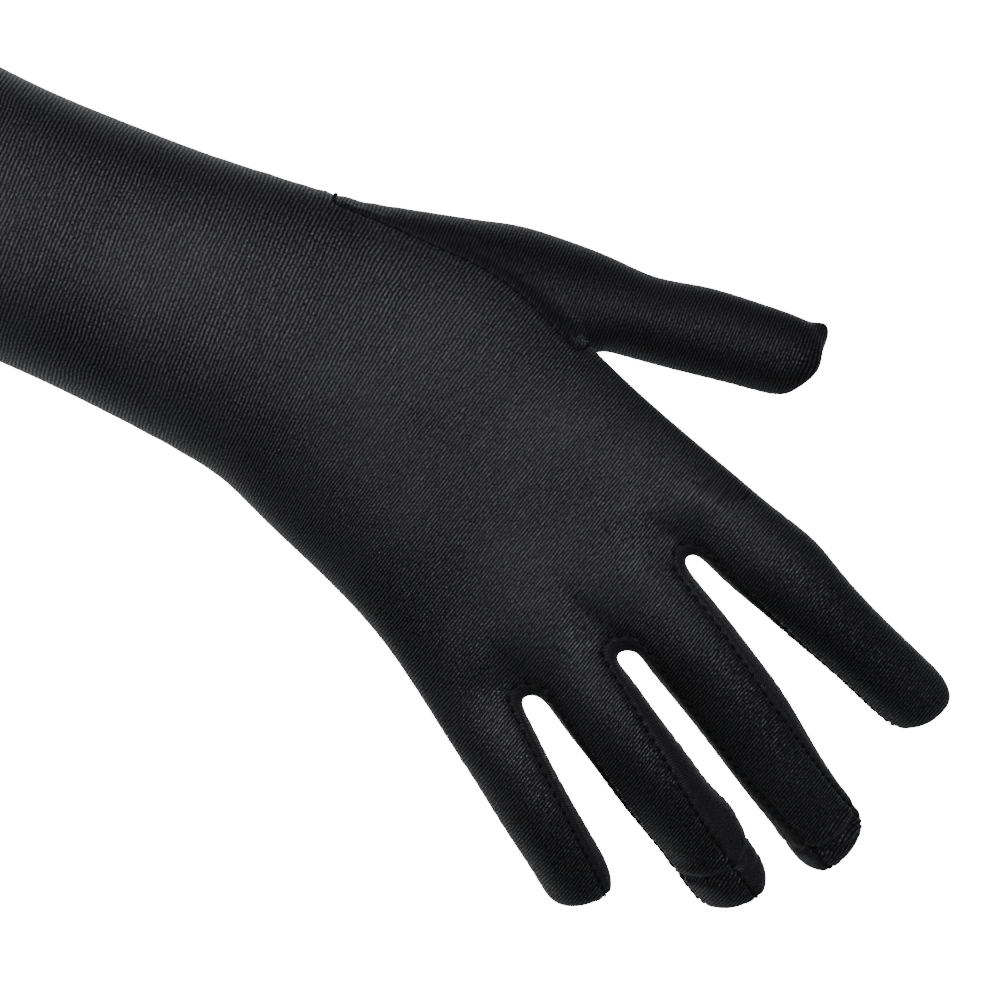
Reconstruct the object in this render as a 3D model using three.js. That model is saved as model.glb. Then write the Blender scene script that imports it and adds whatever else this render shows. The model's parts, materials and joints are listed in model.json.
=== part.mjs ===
// A right-hand opera glove of stretch satin, in the shape it has when worn: a hollow sleeve
// from the upper arm to the fingertips, held up by an elastic hem.
//
// The glove is cut from one long panel, the trank, folded round the arm and slit between the
// fingers, with a thumb piece set into a hole beside its palm, and three fourchettes, the narrow
// strips that run down the side of one finger, round the crotch and up the side of the next.
// Every piece is cut again at the places where the wearer's joints bend, with a wedge left out
// on each side of a bend so that the lengths can turn.
//
// Millimetres and degrees. The origin is the centre of the cuff opening, +X runs down the arm
// towards the hand, +Z is the back of the hand, and the thumb is on the +Y side.
import * as THREE from "three";

// ---- Driving dimensions ----
const WALL = 0.8; // the cloth
const SEAM_GAP = 0.4; // between two pieces that are sewn together
const HINGE_GAP = 0.6; // from the axis of a bend to the edge of a length

const UPPER_LENGTH = 135; // cuff edge to elbow
const FOREARM_LENGTH = 240; // elbow to wrist
const WRIST_X = UPPER_LENGTH + FOREARM_LENGTH;
const WRIST_BEND_X = WRIST_X - 16;

const HEM_DEPTH = 15; // the cloth turned in at the cuff
const ELASTIC_WIDTH = 8;
const ELASTIC_THICKNESS = 0.9;
const LAYER_GAP = 0.35; // between the layers of the hem

const SEAM_ANGLE = 50; // a fourchette's seam on a finger, measured round from its back
const CROTCH_SETBACK = 8; // how far the back of a finger starts behind its crotches
const WEB_DEPTH = 0.85; // depth of the web in a crotch, of the depth of the fingers beside it
const TIP_SQUARENESS = 2.6; // exponent of a fingertip's outline: 2 is round
const TIP_SEAM_SHARE = 0.55; // width of the seam over a fingertip, of the finger's

// The sleeve: place along the arm, and half the width and half the depth of its section.
const SLEEVE = [
  { x: 0, halfWidth: 44, halfDepth: 42 },
  { x: UPPER_LENGTH * 0.5, halfWidth: 42, halfDepth: 40 },
  { x: UPPER_LENGTH, halfWidth: 40, halfDepth: 38 },
  { x: UPPER_LENGTH + FOREARM_LENGTH * 0.2, halfWidth: 40, halfDepth: 36.5 },
  { x: UPPER_LENGTH + FOREARM_LENGTH * 0.45, halfWidth: 35.5, halfDepth: 32 },
  { x: UPPER_LENGTH + FOREARM_LENGTH * 0.7, halfWidth: 27.2, halfDepth: 25.5 },
  { x: UPPER_LENGTH + FOREARM_LENGTH * 0.84, halfWidth: 27.2, halfDepth: 22.4 },
  { x: UPPER_LENGTH + FOREARM_LENGTH * 0.94, halfWidth: 28.6, halfDepth: 20.6 },
];

// The hand: its edge on the thumb side and on the little finger side, measured from the wrist,
// half its depth and the height of its middle.
const HAND = [
  { thumbSide: [2, 30.5], littleSide: [-2, -30.4], halfDepth: 19.4, height: 0.2 },
  { thumbSide: [20, 31.2], littleSide: [12, -35.6], halfDepth: 17.8, height: 1 },
  { thumbSide: [38, 30.2], littleSide: [24, -40], halfDepth: 16.6, height: 1.8 },
  { thumbSide: [56, 23], littleSide: [36, -45], halfDepth: 15.4, height: 2.4 },
  { thumbSide: [71, 17.6], littleSide: [46, -50], halfDepth: 14.2, height: 2.6 },
  { thumbSide: [86, 12.4], littleSide: [55, -56], halfDepth: 12.8, height: 2.2 },
];
const THUMB_HOLE_STATIONS = 3; // the thumb hole reaches from the wrist to this station of HAND
const THUMB_HOLE_ROWS = 8;
const HAND_ROWS = 11;

// The fingers, from the little finger to the index finger. The base points are the crotches on
// its two sides, measured from the wrist, and bends are measured along the finger from there.
// The cloth turns round the finger by twist, and tipSlant is how far the thumb side of the tip
// runs ahead of its middle.
const FINGERS = [
  {
    name: "little", thumbSide: [72.8, -48.8], littleSide: [63.7, -62.6], height: -0.4,
    heading: -36.8, length: 48, halfWidth: [8.3, 7.3, 7.1], halfDepth: [8.2, 7.2, 6.5],
    droop: [15, 33, 46], twist: [0, -9, -20], tipSlant: 1.2,
    bends: [7, 19.5, 33], neighbours: { thumbSide: "ring" },
  },
  {
    name: "ring", thumbSide: [87, -33.2], littleSide: [76.5, -46.2], height: 0.8,
    heading: -30.3, length: 66, halfWidth: [8.8, 8.2, 7.7], halfDepth: [9, 7.8, 7],
    droop: [15, 33, 46], twist: [0, -29, -36], tipSlant: 0,
    bends: [8.5, 25, 45], neighbours: { thumbSide: "middle", littleSide: "little" },
  },
  {
    name: "middle", thumbSide: [92.6, -10.6], littleSide: [90.5, -30.6], height: 1.6,
    heading: -30.3, length: 73, halfWidth: [9.7, 8.5, 7.9], halfDepth: [9.5, 8.2, 7.3],
    droop: [15, 33, 46], twist: [0, -3, 22], tipSlant: 0,
    bends: [11.5, 29, 50], neighbours: { thumbSide: "index", littleSide: "ring" },
  },
  {
    name: "index", thumbSide: [101.5, 7.9], littleSide: [94.3, -8.2], height: 1,
    heading: -19.2, length: 66, halfWidth: [9.4, 7.9, 7.6], halfDepth: [9.2, 7.9, 7.1],
    droop: [15, 33, 46], twist: [0, -30, -34], tipSlant: 0,
    bends: [8.5, 25, 45], neighbours: { littleSide: "middle" },
  },
];
const FINGER_FLEX = [60, 62, 31]; // how far the bends of a finger close, knuckle to tip
const FINGER_STRETCH = [15, 18, 9]; // how far they open past rest

// The thumb, with its own flat of the nail turned by roll from the back of the hand.
const THUMB = {
  name: "thumb", thumbSide: [35, 39.4], littleSide: [58, 21.2], height: -7,
  heading: 7, length: 56, halfWidth: [9.6, 9.2, 8.3], halfDepth: [12.5, 9.4, 7.8],
  droop: [6, 14, 22], twist: [0, 0, 0], tipSlant: 2.2, bends: [15.5, 35.5], roll: 40,
};
const THUMB_FLEX = [35, 50];
const THUMB_STRETCH = [12, 12];

const WRIST_FLEX = 50;
const WRIST_STRETCH = 50;
const ELBOW_FLEX = 90; // the forearm folds up, towards the back of the hand side

// Faces across each strip. SECTION_POWER is the exponent of the arm's section: 2 is an ellipse.
const BACK_FACES = 4;
const SIDE_FACES = 4;
const GAP_FACES = 2;
const SECTION_POWER = 2.2;
const EDGE_SHARE = 0.93; // where the back turns into the side, of the half width

const SATIN = { color: 0x1c1c1f, roughness: 0.55, metalness: 0 };
const FOURCHETTE_CLOTH = { color: 0x17171a, roughness: 0.62, metalness: 0 };
const ELASTIC_CLOTH = { color: 0x101012, roughness: 0.9, metalness: 0 };

// ---- Small helpers ----
const vec = (x, y, z = 0) => new THREE.Vector3(x, y, z);
const rad = THREE.MathUtils.degToRad;
const smooth = (t) => THREE.MathUtils.smoothstep(t, 0, 1);
const lerp = (a, b, t) => a.clone().lerp(b, t);
const UP = vec(0, 0, 1);

// A smooth function through rows of numbers, each row at its place.
function spline(places, rows) {
  const width = rows[0].length;
  const curve = new THREE.CubicInterpolant(places, rows.flat(), width, new Float64Array(width));
  return (place) => Array.from(curve.evaluate(THREE.MathUtils.clamp(place, places[0], places.at(-1))));
}

function between(from, to, count) {
  return Array.from({ length: count }, (_, i) => from + ((to - from) * (i + 1)) / (count + 1));
}

// How far the edge of a length stands back from the axis of a bend, at a height over that axis:
// enough for the bend to close by flex on its low side and by stretch on its high side.
function setback(height, bend) {
  const closing = height < 0 ? bend.flex : bend.stretch;
  return HINGE_GAP + Math.abs(height) * Math.tan(rad(closing) / 2);
}

// ---- The cage: points on the outer surface, shared by the pieces that meet there ----
const points = [];
const faces = [];

const addPoint = (p) => points.push(p) - 1;
const addRow = (positions) => positions.map(addPoint);

function addFace(piece, ...corners) {
  const distinct = corners.filter((c, i) => c !== corners[(i + 1) % corners.length]);
  if (piece && distinct.length > 2) faces.push({ corners: distinct, piece });
}

// Faces between two rows of points. pieceOf names the piece of a column, or null for a hole.
function addBand(first, second, pieceOf, closed = true) {
  const columns = closed ? first.length : first.length - 1;
  for (let k = 0; k < columns; k++) {
    const next = (k + 1) % first.length;
    addFace(pieceOf(k), first[k], second[k], second[next], first[next]);
  }
}

function addBands(rows, pieceOf, closed = true) {
  rows.slice(1).forEach((row, i) => addBand(rows[i], row, (k) => pieceOf(k, i), closed));
}

// ---- Columns of the arm and hand ----
// They run from the little finger side over the back to the thumb side and home by the palm.
// share is the place across the section, from -1 to 1, and lift the height, of its half depth.
function handColumns() {
  const widths = [];
  FINGERS.forEach((finger, i) => {
    const base = vec(...finger.thumbSide).distanceTo(vec(...finger.littleSide));
    const strip = base * Math.sin(rad(SEAM_ANGLE));
    for (let k = 0; k < BACK_FACES; k++) widths.push(strip / BACK_FACES);
    if (i === FINGERS.length - 1) return;
    for (let k = 0; k < GAP_FACES; k++) widths.push((base - strip) / GAP_FACES);
  });
  const total = widths.reduce((sum, width) => sum + width, 0);
  const shares = [-EDGE_SHARE];
  for (const width of widths) shares.push(shares.at(-1) + (2 * EDGE_SHARE * width) / total);

  const liftAt = (share) => (1 - Math.abs(share) ** SECTION_POWER) ** (1 / SECTION_POWER);
  const back = shares.map((share) => ({ share, lift: liftAt(share) }));
  const palm = back.map(({ share, lift }) => ({ share, lift: -lift })).reverse();
  const turn = Math.acos(EDGE_SHARE ** (SECTION_POWER / 2));
  const edge = between(turn, -turn, SIDE_FACES - 1).map((angle) => ({
    share: Math.cos(angle) ** (2 / SECTION_POWER),
    lift: Math.sign(angle) * Math.abs(Math.sin(angle)) ** (2 / SECTION_POWER),
  }));
  const littleEdge = edge.map(({ share, lift }) => ({ share: -share, lift: -lift }));
  return [...back, ...edge, ...palm, ...littleEdge];
}
const COLUMNS = handColumns();
const BACK_POINTS = FINGERS.length * (BACK_FACES + GAP_FACES) - GAP_FACES + 1;
const EDGE_POINTS = SIDE_FACES - 1;
const PALM_START = BACK_POINTS + EDGE_POINTS;
const palmColumn = (backColumn) => PALM_START + BACK_POINTS - 1 - backColumn;

// ---- Arm and hand ----
const armStations = [
  ...SLEEVE.map((s) => [s.x, s.halfWidth, s.x, -s.halfWidth, s.halfDepth, 0]),
  ...HAND.map((s) => [
    WRIST_X + s.thumbSide[0], s.thumbSide[1], WRIST_X + s.littleSide[0], s.littleSide[1],
    s.halfDepth, s.height,
  ]),
];
const armPlaces = armStations.map((s) => (s[0] + s[2]) / 2);
const armCurve = spline(armPlaces, armStations);
const handPlaces = armPlaces.slice(SLEEVE.length);

function armPoint(column, place) {
  const [tx, ty, lx, ly, halfDepth, height] = armCurve(place);
  const { share, lift } = column;
  return vec((tx + lx) / 2, (ty + ly) / 2, height)
    .addScaledVector(vec((tx - lx) / 2, (ty - ly) / 2), share)
    .addScaledVector(UP, lift * halfDepth);
}

const armRow = (place) => addRow(COLUMNS.map((column) => armPoint(column, place)));

// The row of the arm that stands back from a bend: way is -1 before it and 1 after it.
function armEnd(place, way, bend) {
  return addRow(COLUMNS.map((column) => {
    const height = armPoint(column, place).z;
    return armPoint(column, place + way * setback(height, bend));
  }));
}

function buildSleeve() {
  const elbow = { flex: 0, stretch: ELBOW_FLEX };
  const wrist = { flex: WRIST_FLEX, stretch: WRIST_STRETCH };
  const elbowReach = setback(SLEEVE[2].halfDepth + 1, elbow);
  const wristReach = setback(SLEEVE.at(-1).halfDepth + 1, { flex: 0, stretch: WRIST_FLEX });
  const cuffStart = WALL + LAYER_GAP;

  const upper = [
    armRow(cuffStart),
    ...between(cuffStart, UPPER_LENGTH - elbowReach, 2).map(armRow),
    armEnd(UPPER_LENGTH, -1, elbow),
  ];
  const forearm = [
    armEnd(UPPER_LENGTH, 1, elbow),
    ...between(UPPER_LENGTH + elbowReach, WRIST_BEND_X - wristReach, 5).map(armRow),
    armEnd(WRIST_BEND_X, -1, wrist),
  ];
  addBands(upper, () => "trank_upper_sleeve");
  addBands(forearm, () => "trank_forearm");
  return armEnd(WRIST_BEND_X, 1, wrist);
}

// ---- Fingers ----
const ahead = (finger) => vec(Math.cos(rad(finger.heading)), Math.sin(rad(finger.heading)));
const across = (finger) => vec(-Math.sin(rad(finger.heading)), Math.cos(rad(finger.heading)));

function baseMiddle(finger) {
  const middle = lerp(vec(...finger.thumbSide), vec(...finger.littleSide), 0.5);
  return middle.add(vec(WRIST_X, 0, finger.height));
}

const baseAcross = (finger) => vec(...finger.thumbSide).sub(vec(...finger.littleSide)).divideScalar(2);

// The middle line of a finger droops more and more from its base to its tip.
function fingerMiddle(finger, place) {
  const droopPlaces = [0, finger.length * 0.5, finger.length];
  const droopAt = spline(droopPlaces, finger.droop.map((d) => [d]));
  const middle = baseMiddle(finger);
  const steps = 24;
  for (let i = 0; i < steps; i++) {
    const droop = rad(droopAt((place * (i + 0.5)) / steps)[0]);
    middle.addScaledVector(ahead(finger), (Math.cos(droop) * place) / steps);
    middle.addScaledVector(UP, (-Math.sin(droop) * place) / steps);
  }
  const droop = rad(droopAt(place)[0]);
  const along = ahead(finger).multiplyScalar(Math.cos(droop)).addScaledVector(UP, -Math.sin(droop));
  return { middle, along, outward: along.clone().cross(across(finger)) };
}

// A point on a finger. The angle is measured from its back towards the thumb side.
function fingerPoint(finger, angle, place) {
  const { middle, along, outward } = fingerMiddle(finger, place);
  const sizePlaces = [0, finger.length * 0.5, finger.length];
  const sizeAt = spline(sizePlaces, finger.halfWidth.map((w, i) => [w, finger.halfDepth[i]]));
  let [halfWidth, halfDepth] = sizeAt(place);

  const tipLength = finger.halfWidth.at(-1) * 1.1;
  const intoTip = Math.max(0, place / tipLength - finger.length / tipLength + 1);
  const taper = Math.max(0, 1 - intoTip ** TIP_SQUARENESS) ** (1 / TIP_SQUARENESS);
  halfWidth *= TIP_SEAM_SHARE + (1 - TIP_SEAM_SHARE) * taper;
  halfDepth *= taper;

  const twist = spline(sizePlaces, finger.twist.map((turn) => [rad(turn)]))(place)[0];
  const side = across(finger).applyAxisAngle(along, -twist);
  const up = outward.applyAxisAngle(along, -twist);
  const square = smooth(place / finger.bends[0]);
  const lateral = lerp(baseAcross(finger), side.multiplyScalar(halfWidth), square);
  return middle
    .addScaledVector(lateral, Math.sin(rad(angle)))
    .addScaledVector(up, halfDepth * Math.cos(rad(angle)))
    .addScaledVector(along, finger.tipSlant * intoTip ** 2 * Math.sin(rad(angle)));
}

// The base of a finger curves back from its crotches over the knuckle.
function basePoint(finger, angle) {
  const back = CROTCH_SETBACK * Math.cos(rad(angle)) ** 2;
  return fingerPoint(finger, angle, 0).addScaledVector(ahead(finger), -back);
}

// Angles of the columns round a finger: its back, thumb side, palm and little finger side.
function ringAngles(backAngle, backFaces, sideFaces) {
  const turns = [-backAngle, backAngle, 180 - backAngle, 180 + backAngle, 360 - backAngle];
  const counts = [backFaces, sideFaces, backFaces, sideFaces];
  return counts.flatMap((count, i) => [turns[i], ...between(turns[i], turns[i + 1], count - 1)]);
}
const FINGER_ANGLES = ringAngles(SEAM_ANGLE, BACK_FACES, SIDE_FACES);
const THUMB_SIDE = BACK_FACES; // the first column of each side of a finger
const PALM_SIDE = THUMB_SIDE + SIDE_FACES;
const LITTLE_SIDE = PALM_SIDE + BACK_FACES;

const fingerRing = (finger, angles, place) =>
  addRow(angles.map((angle) => fingerPoint(finger, angle, place)));

// The axis of a bend lies in the plane of the nail, so the height over it is taken along nail.
function bendFrame(finger, place) {
  const { middle, along, outward } = fingerMiddle(finger, place);
  const roll = rad(finger.roll ?? 0);
  const nail = outward.clone().multiplyScalar(Math.cos(roll));
  nail.addScaledVector(across(finger), Math.sin(roll));
  return { middle, along, nail };
}

function fingerEnd(finger, angles, place, way, bend) {
  const { middle, nail } = bendFrame(finger, place);
  return addRow(angles.map((angle) => {
    const height = fingerPoint(finger, angle, place).sub(middle).dot(nail);
    return fingerPoint(finger, angle, place + way * setback(height, bend));
  }));
}

// The seam over a fingertip: back and palm meet in it, and the sides end at its corners.
function tipSeam(finger, angles, backFaces, sideFaces) {
  const seam = angles.slice(0, backFaces + 1).map((angle) => fingerPoint(finger, angle, finger.length));
  const numbers = addRow(seam);
  return angles.map((_, k) => {
    const palmStart = backFaces + sideFaces;
    if (k <= backFaces) return numbers[k];
    if (k < palmStart) return numbers[backFaces];
    return numbers[Math.max(0, backFaces - (k - palmStart))];
  });
}

// The rows of a finger past its first bend, one list for each length.
function fingerLengths(finger, angles, bends, backFaces, sideFaces) {
  const tipStart = finger.length - finger.halfWidth.at(-1) * 1.1;
  return finger.bends.map((place, i) => {
    const start = fingerEnd(finger, angles, place, 1, bends[i]);
    if (i + 1 < finger.bends.length) {
      const next = finger.bends[i + 1];
      const middle = fingerRing(finger, angles, (place + next) / 2);
      return [start, middle, fingerEnd(finger, angles, next, -1, bends[i + 1])];
    }
    const rounding = [0, 0.45, 0.75, 0.93].map((t) =>
      fingerRing(finger, angles, tipStart + (finger.length - tipStart) * t));
    return [start, ...rounding, tipSeam(finger, angles, backFaces, sideFaces)];
  });
}

// A finger's trank wraps its back, its palm and any side that no fourchette fills.
function fingerPiece(finger, length, column) {
  const sides = finger.neighbours;
  const onThumbSide = column >= THUMB_SIDE && column < PALM_SIDE;
  const onLittleSide = column >= LITTLE_SIDE;
  if (onThumbSide && sides.thumbSide) return `${finger.name}_fourchette_${sides.thumbSide}_${length}`;
  if (onLittleSide && sides.littleSide) return `${finger.name}_fourchette_${sides.littleSide}_${length}`;
  if (!sides.thumbSide || !sides.littleSide) return `${finger.name}_trank_${length}`;
  return column < THUMB_SIDE ? `${finger.name}_back_${length}` : `${finger.name}_palm_${length}`;
}

// ---- Knuckles, where the columns of the hand run on into the fingers ----
function handColumnOf(order, k) {
  const firstBack = order * (BACK_FACES + GAP_FACES);
  if (k <= THUMB_SIDE) return firstBack + k;
  if (k >= PALM_SIDE && k <= LITTLE_SIDE) return palmColumn(firstBack + BACK_FACES - (k - PALM_SIDE));
  if (order === FINGERS.length - 1 && k < PALM_SIDE) return BACK_POINTS + k - THUMB_SIDE - 1;
  if (order === 0 && k > LITTLE_SIDE) return PALM_START + BACK_POINTS + k - LITTLE_SIDE - 1;
  return null;
}

// The middle line of a web, from the back to the palm, in the crotch after a finger.
function webMiddle(order) {
  const [first, second] = [FINGERS[order], FINGERS[order + 1]];
  const crotch = lerp(vec(...first.thumbSide), vec(...second.littleSide), 0.5);
  const height = (first.height + second.height) / 2;
  const depth = (WEB_DEPTH * (first.halfDepth[0] + second.halfDepth[0])) / 2;
  const forward = ahead(first).add(ahead(second)).normalize();
  const angles = [SEAM_ANGLE, ...between(SEAM_ANGLE, 180 - SEAM_ANGLE, EDGE_POINTS), 180 - SEAM_ANGLE];
  return addRow(angles.map((angle) => {
    const lift = Math.cos(rad(angle));
    const position = crotch.clone().add(vec(WRIST_X, 0, height + depth * lift));
    return position.addScaledVector(forward, -1 - CROTCH_SETBACK * lift ** 2);
  }));
}

function buildKnuckles(lastHandRow) {
  const knuckles = new Array(COLUMNS.length);
  const webs = FINGERS.slice(1).map((_, order) => webMiddle(order));
  webs.forEach((web, order) => {
    const gapColumn = order * (BACK_FACES + GAP_FACES) + BACK_FACES + 1;
    knuckles[gapColumn] = web[0];
    knuckles[palmColumn(gapColumn)] = web.at(-1);
  });
  const bases = FINGERS.map((finger, order) =>
    FINGER_ANGLES.map((angle, k) => {
      const number = addPoint(basePoint(finger, angle));
      const column = handColumnOf(order, k);
      if (column !== null) knuckles[column] = number;
      return number;
    }));
  const halfway = addRow(COLUMNS.map((_, column) =>
    lerp(points[lastHandRow[column]], points[knuckles[column]], 0.5)));
  addBands([lastHandRow, halfway, knuckles], () => "trank_knuckles");

  webs.forEach((web, order) => {
    const [first, second] = [FINGERS[order], FINGERS[order + 1]];
    const piece = `web_${second.name}_${first.name}`;
    const before = bases[order].slice(THUMB_SIDE, PALM_SIDE + 1);
    const other = bases[order + 1];
    const after = [other[0], ...other.slice(LITTLE_SIDE).reverse()];
    addBands([after, web, before], () => piece, false);
  });
  return bases;
}

function stubPiece(finger, order, column) {
  const sides = finger.neighbours;
  const onThumbSide = column >= THUMB_SIDE && column < PALM_SIDE;
  if (onThumbSide && sides.thumbSide) return `web_${FINGERS[order + 1].name}_${finger.name}`;
  if (column >= LITTLE_SIDE && sides.littleSide) return `web_${finger.name}_${FINGERS[order - 1].name}`;
  return "trank_knuckles";
}

function buildFingers(bases) {
  const bends = FINGER_FLEX.map((flex, i) => ({ flex, stretch: FINGER_STRETCH[i] }));
  FINGERS.forEach((finger, order) => {
    const knuckle = fingerEnd(finger, FINGER_ANGLES, finger.bends[0], -1, bends[0]);
    const halfway = addRow(bases[order].map((number, k) => lerp(points[number], points[knuckle[k]], 0.5)));
    addBands([bases[order], halfway, knuckle], (k) => stubPiece(finger, order, k));
    const lengths = fingerLengths(finger, FINGER_ANGLES, bends, BACK_FACES, SIDE_FACES);
    lengths.forEach((rows, i) => addBands(rows, (k) => fingerPiece(finger, i + 1, k)));
  });
}

// ---- Thumb ----
const HOLE_BACK = BACK_POINTS - 1; // the hole lies between these two columns
const HOLE_PALM = HOLE_BACK + THUMB_HOLE_ROWS;

function buildHand(wristRow) {
  const holeEnd = handPlaces[THUMB_HOLE_STATIONS];
  const places = [
    handPlaces[0],
    ...between(handPlaces[0], holeEnd, THUMB_HOLE_ROWS - 1),
    holeEnd,
    ...between(holeEnd, handPlaces.at(-1), HAND_ROWS - THUMB_HOLE_ROWS - 1),
    handPlaces.at(-1),
  ];
  const rows = places.map(armRow);
  const inHole = (column, band) =>
    band < THUMB_HOLE_ROWS && column >= HOLE_BACK && column < HOLE_PALM;
  addBand(wristRow, rows[0], () => "trank_hand");
  addBands(rows, (column, band) => (inHole(column, band) ? null : "trank_hand"));
  return rows;
}

// The edge of the thumb hole, taken round like a finger: back, far side, palm, crotch side.
function holeEdge(rows) {
  const hole = rows.slice(0, THUMB_HOLE_ROWS + 1);
  const wrist = hole[0].slice(HOLE_BACK, HOLE_PALM + 1);
  const crotch = hole.at(-1).slice(HOLE_BACK, HOLE_PALM + 1).reverse();
  const back = hole.map((row) => row[HOLE_BACK]).reverse();
  const palm = hole.map((row) => row[HOLE_PALM]);
  return [back, wrist, palm, crotch].flatMap((edge) => edge.slice(0, -1));
}

function buildThumb(rows) {
  const angles = ringAngles(45, THUMB_HOLE_ROWS, THUMB_HOLE_ROWS);
  const bends = THUMB_FLEX.map((flex, i) => ({ flex, stretch: THUMB_STRETCH[i] }));
  const edge = holeEdge(rows);
  const knuckle = fingerEnd(THUMB, angles, THUMB.bends[0], -1, bends[0]);
  const base = fingerRing(THUMB, angles, 0);
  const flare = [0.34, 0.68].map((t) =>
    addRow(edge.map((number, k) => lerp(points[number], points[base[k]], t))));
  addBands([edge, ...flare, base, knuckle], () => "thumb_base");
  const lengths = fingerLengths(THUMB, angles, bends, THUMB_HOLE_ROWS, THUMB_HOLE_ROWS);
  lengths.forEach((lengthRows, i) => addBands(lengthRows, () => `thumb_${i + 1}`));
}

// ---- From the cage to closed pieces of cloth ----
function faceNormal(corners) {
  const normal = vec(0, 0, 0);
  corners.forEach((corner, i) => {
    const a = points[corner];
    const b = points[corners[(i + 1) % corners.length]];
    normal.x += (a.y - b.y) * (a.z + b.z);
    normal.y += (a.z - b.z) * (a.x + b.x);
    normal.z += (a.x - b.x) * (a.y + b.y);
  });
  return normal.normalize();
}

function pointNormals() {
  const normals = points.map(() => vec(0, 0, 0));
  for (const { corners } of faces) {
    const normal = faceNormal(corners);
    for (const corner of corners) normals[corner].add(normal);
  }
  return normals.map((normal) => normal.normalize());
}

const edgesOf = (corners) => corners.map((from, i) => [from, corners[(i + 1) % corners.length]]);
const edgeKey = (from, to) => `${from}>${to}`;

// Which way, and how far, each point on the seams of a piece draws back to leave the seam gap.
function seamShifts(pieceFaces, ownEdges, allEdges) {
  const inward = new Map();
  for (const { corners } of pieceFaces) {
    const normal = faceNormal(corners);
    for (const [from, to] of edgesOf(corners)) {
      const sewn = allEdges.has(edgeKey(to, from)) && !ownEdges.has(edgeKey(to, from));
      if (!sewn) continue;
      const side = normal.clone().cross(points[to].clone().sub(points[from])).normalize();
      for (const end of [from, to]) inward.set(end, [...(inward.get(end) ?? []), side]);
    }
  }
  const shifts = new Map();
  for (const [point, sides] of inward) {
    const sum = sides.reduce((total, side) => total.add(side), vec(0, 0, 0));
    const spread = sides.length > 1 ? Math.max(0.5, 1 + sides[0].dot(sides[1])) : 1;
    const shift = sides.length > 1 ? sum.clone().divideScalar(spread) : sum;
    shifts.set(point, shift.multiplyScalar(SEAM_GAP / 2));
  }
  return shifts;
}

function pieceGeometry(pieceFaces, allEdges, normals) {
  const ownEdges = new Set(pieceFaces.flatMap(({ corners }) => edgesOf(corners).map((e) => edgeKey(...e))));
  const shifts = seamShifts(pieceFaces, ownEdges, allEdges);
  const numbers = [...new Set(pieceFaces.flatMap(({ corners }) => corners))];
  const place = new Map(numbers.map((number, i) => [number, i]));
  const outer = numbers.map((number) => points[number].clone().add(shifts.get(number) ?? vec(0, 0, 0)));
  const inner = outer.map((p, i) => p.clone().addScaledVector(normals[numbers[i]], -WALL));
  const index = [];
  for (const { corners } of pieceFaces) {
    const c = corners.map((corner) => place.get(corner));
    for (let i = 2; i < c.length; i++) {
      index.push(c[0], c[i - 1], c[i]);
      index.push(c[0] + numbers.length, c[i] + numbers.length, c[i - 1] + numbers.length);
    }
    for (const [from, to] of edgesOf(corners)) {
      if (ownEdges.has(edgeKey(to, from))) continue;
      const [a, b] = [place.get(from), place.get(to)];
      const [aIn, bIn] = [a + numbers.length, b + numbers.length];
      index.push(b, a, aIn, b, aIn, bIn);
    }
  }
  const geometry = new THREE.BufferGeometry();
  const positions = [...outer, ...inner].flatMap((p) => p.toArray());
  geometry.setAttribute("position", new THREE.Float32BufferAttribute(positions, 3));
  geometry.setIndex(index);
  return geometry;
}

function addMesh(group, name, geometry, cloth) {
  geometry.computeVertexNormals();
  const mesh = new THREE.Mesh(geometry, new THREE.MeshStandardMaterial({ ...cloth, name }));
  mesh.name = name;
  group.add(mesh);
}

function addCloth(group) {
  const normals = pointNormals();
  const allEdges = new Set(faces.flatMap(({ corners }) => edgesOf(corners).map((e) => edgeKey(...e))));
  for (const name of new Set(faces.map((face) => face.piece))) {
    const own = faces.filter((face) => face.piece === name);
    const isFourchette = name.includes("fourchette") || name.startsWith("web");
    addMesh(group, name, pieceGeometry(own, allEdges, normals), isFourchette ? FOURCHETTE_CLOTH : SATIN);
  }
}

// ---- Hem: rings swept round the sleeve, their outline in pairs of x and inset from the cloth ----
function sweptRing(outline) {
  const positions = [];
  for (const [x, inset] of outline) {
    const section = COLUMNS.map((column) => armPoint(column, x));
    section.forEach((p, k) => {
      const before = section.at(k - 1);
      const after = section[(k + 1) % section.length];
      const tangent = after.clone().sub(before).normalize();
      const inward = tangent.clone().cross(vec(1, 0, 0)).normalize();
      positions.push(...p.clone().addScaledVector(inward, inset).toArray());
    });
  }
  const count = COLUMNS.length;
  const index = [];
  outline.forEach((_, i) => {
    const here = i * count;
    const there = ((i + 1) % outline.length) * count;
    for (let k = 0; k < count; k++) {
      const next = (k + 1) % count;
      index.push(here + k, there + k, there + next, here + k, there + next, here + next);
    }
  });
  const geometry = new THREE.BufferGeometry();
  geometry.setAttribute("position", new THREE.Float32BufferAttribute(positions, 3));
  geometry.setIndex(index);
  return geometry;
}

function addHem(group) {
  const elasticTop = WALL + LAYER_GAP;
  const hemTop = elasticTop + ELASTIC_THICKNESS + LAYER_GAP;
  const hemBottom = hemTop + WALL;
  const elasticStart = (HEM_DEPTH - ELASTIC_WIDTH) / 2;
  const elasticEnd = elasticStart + ELASTIC_WIDTH;
  const turnedIn = [
    [0, 0], [WALL, 0], [WALL, hemTop], [HEM_DEPTH, hemTop], [HEM_DEPTH, hemBottom], [0, hemBottom],
  ];
  const band = [
    [elasticStart, elasticTop], [elasticEnd, elasticTop],
    [elasticEnd, elasticTop + ELASTIC_THICKNESS], [elasticStart, elasticTop + ELASTIC_THICKNESS],
  ];
  addMesh(group, "cuff_hem", sweptRing(turnedIn), SATIN);
  addMesh(group, "cuff_elastic", sweptRing(band), ELASTIC_CLOTH);
}

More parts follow.
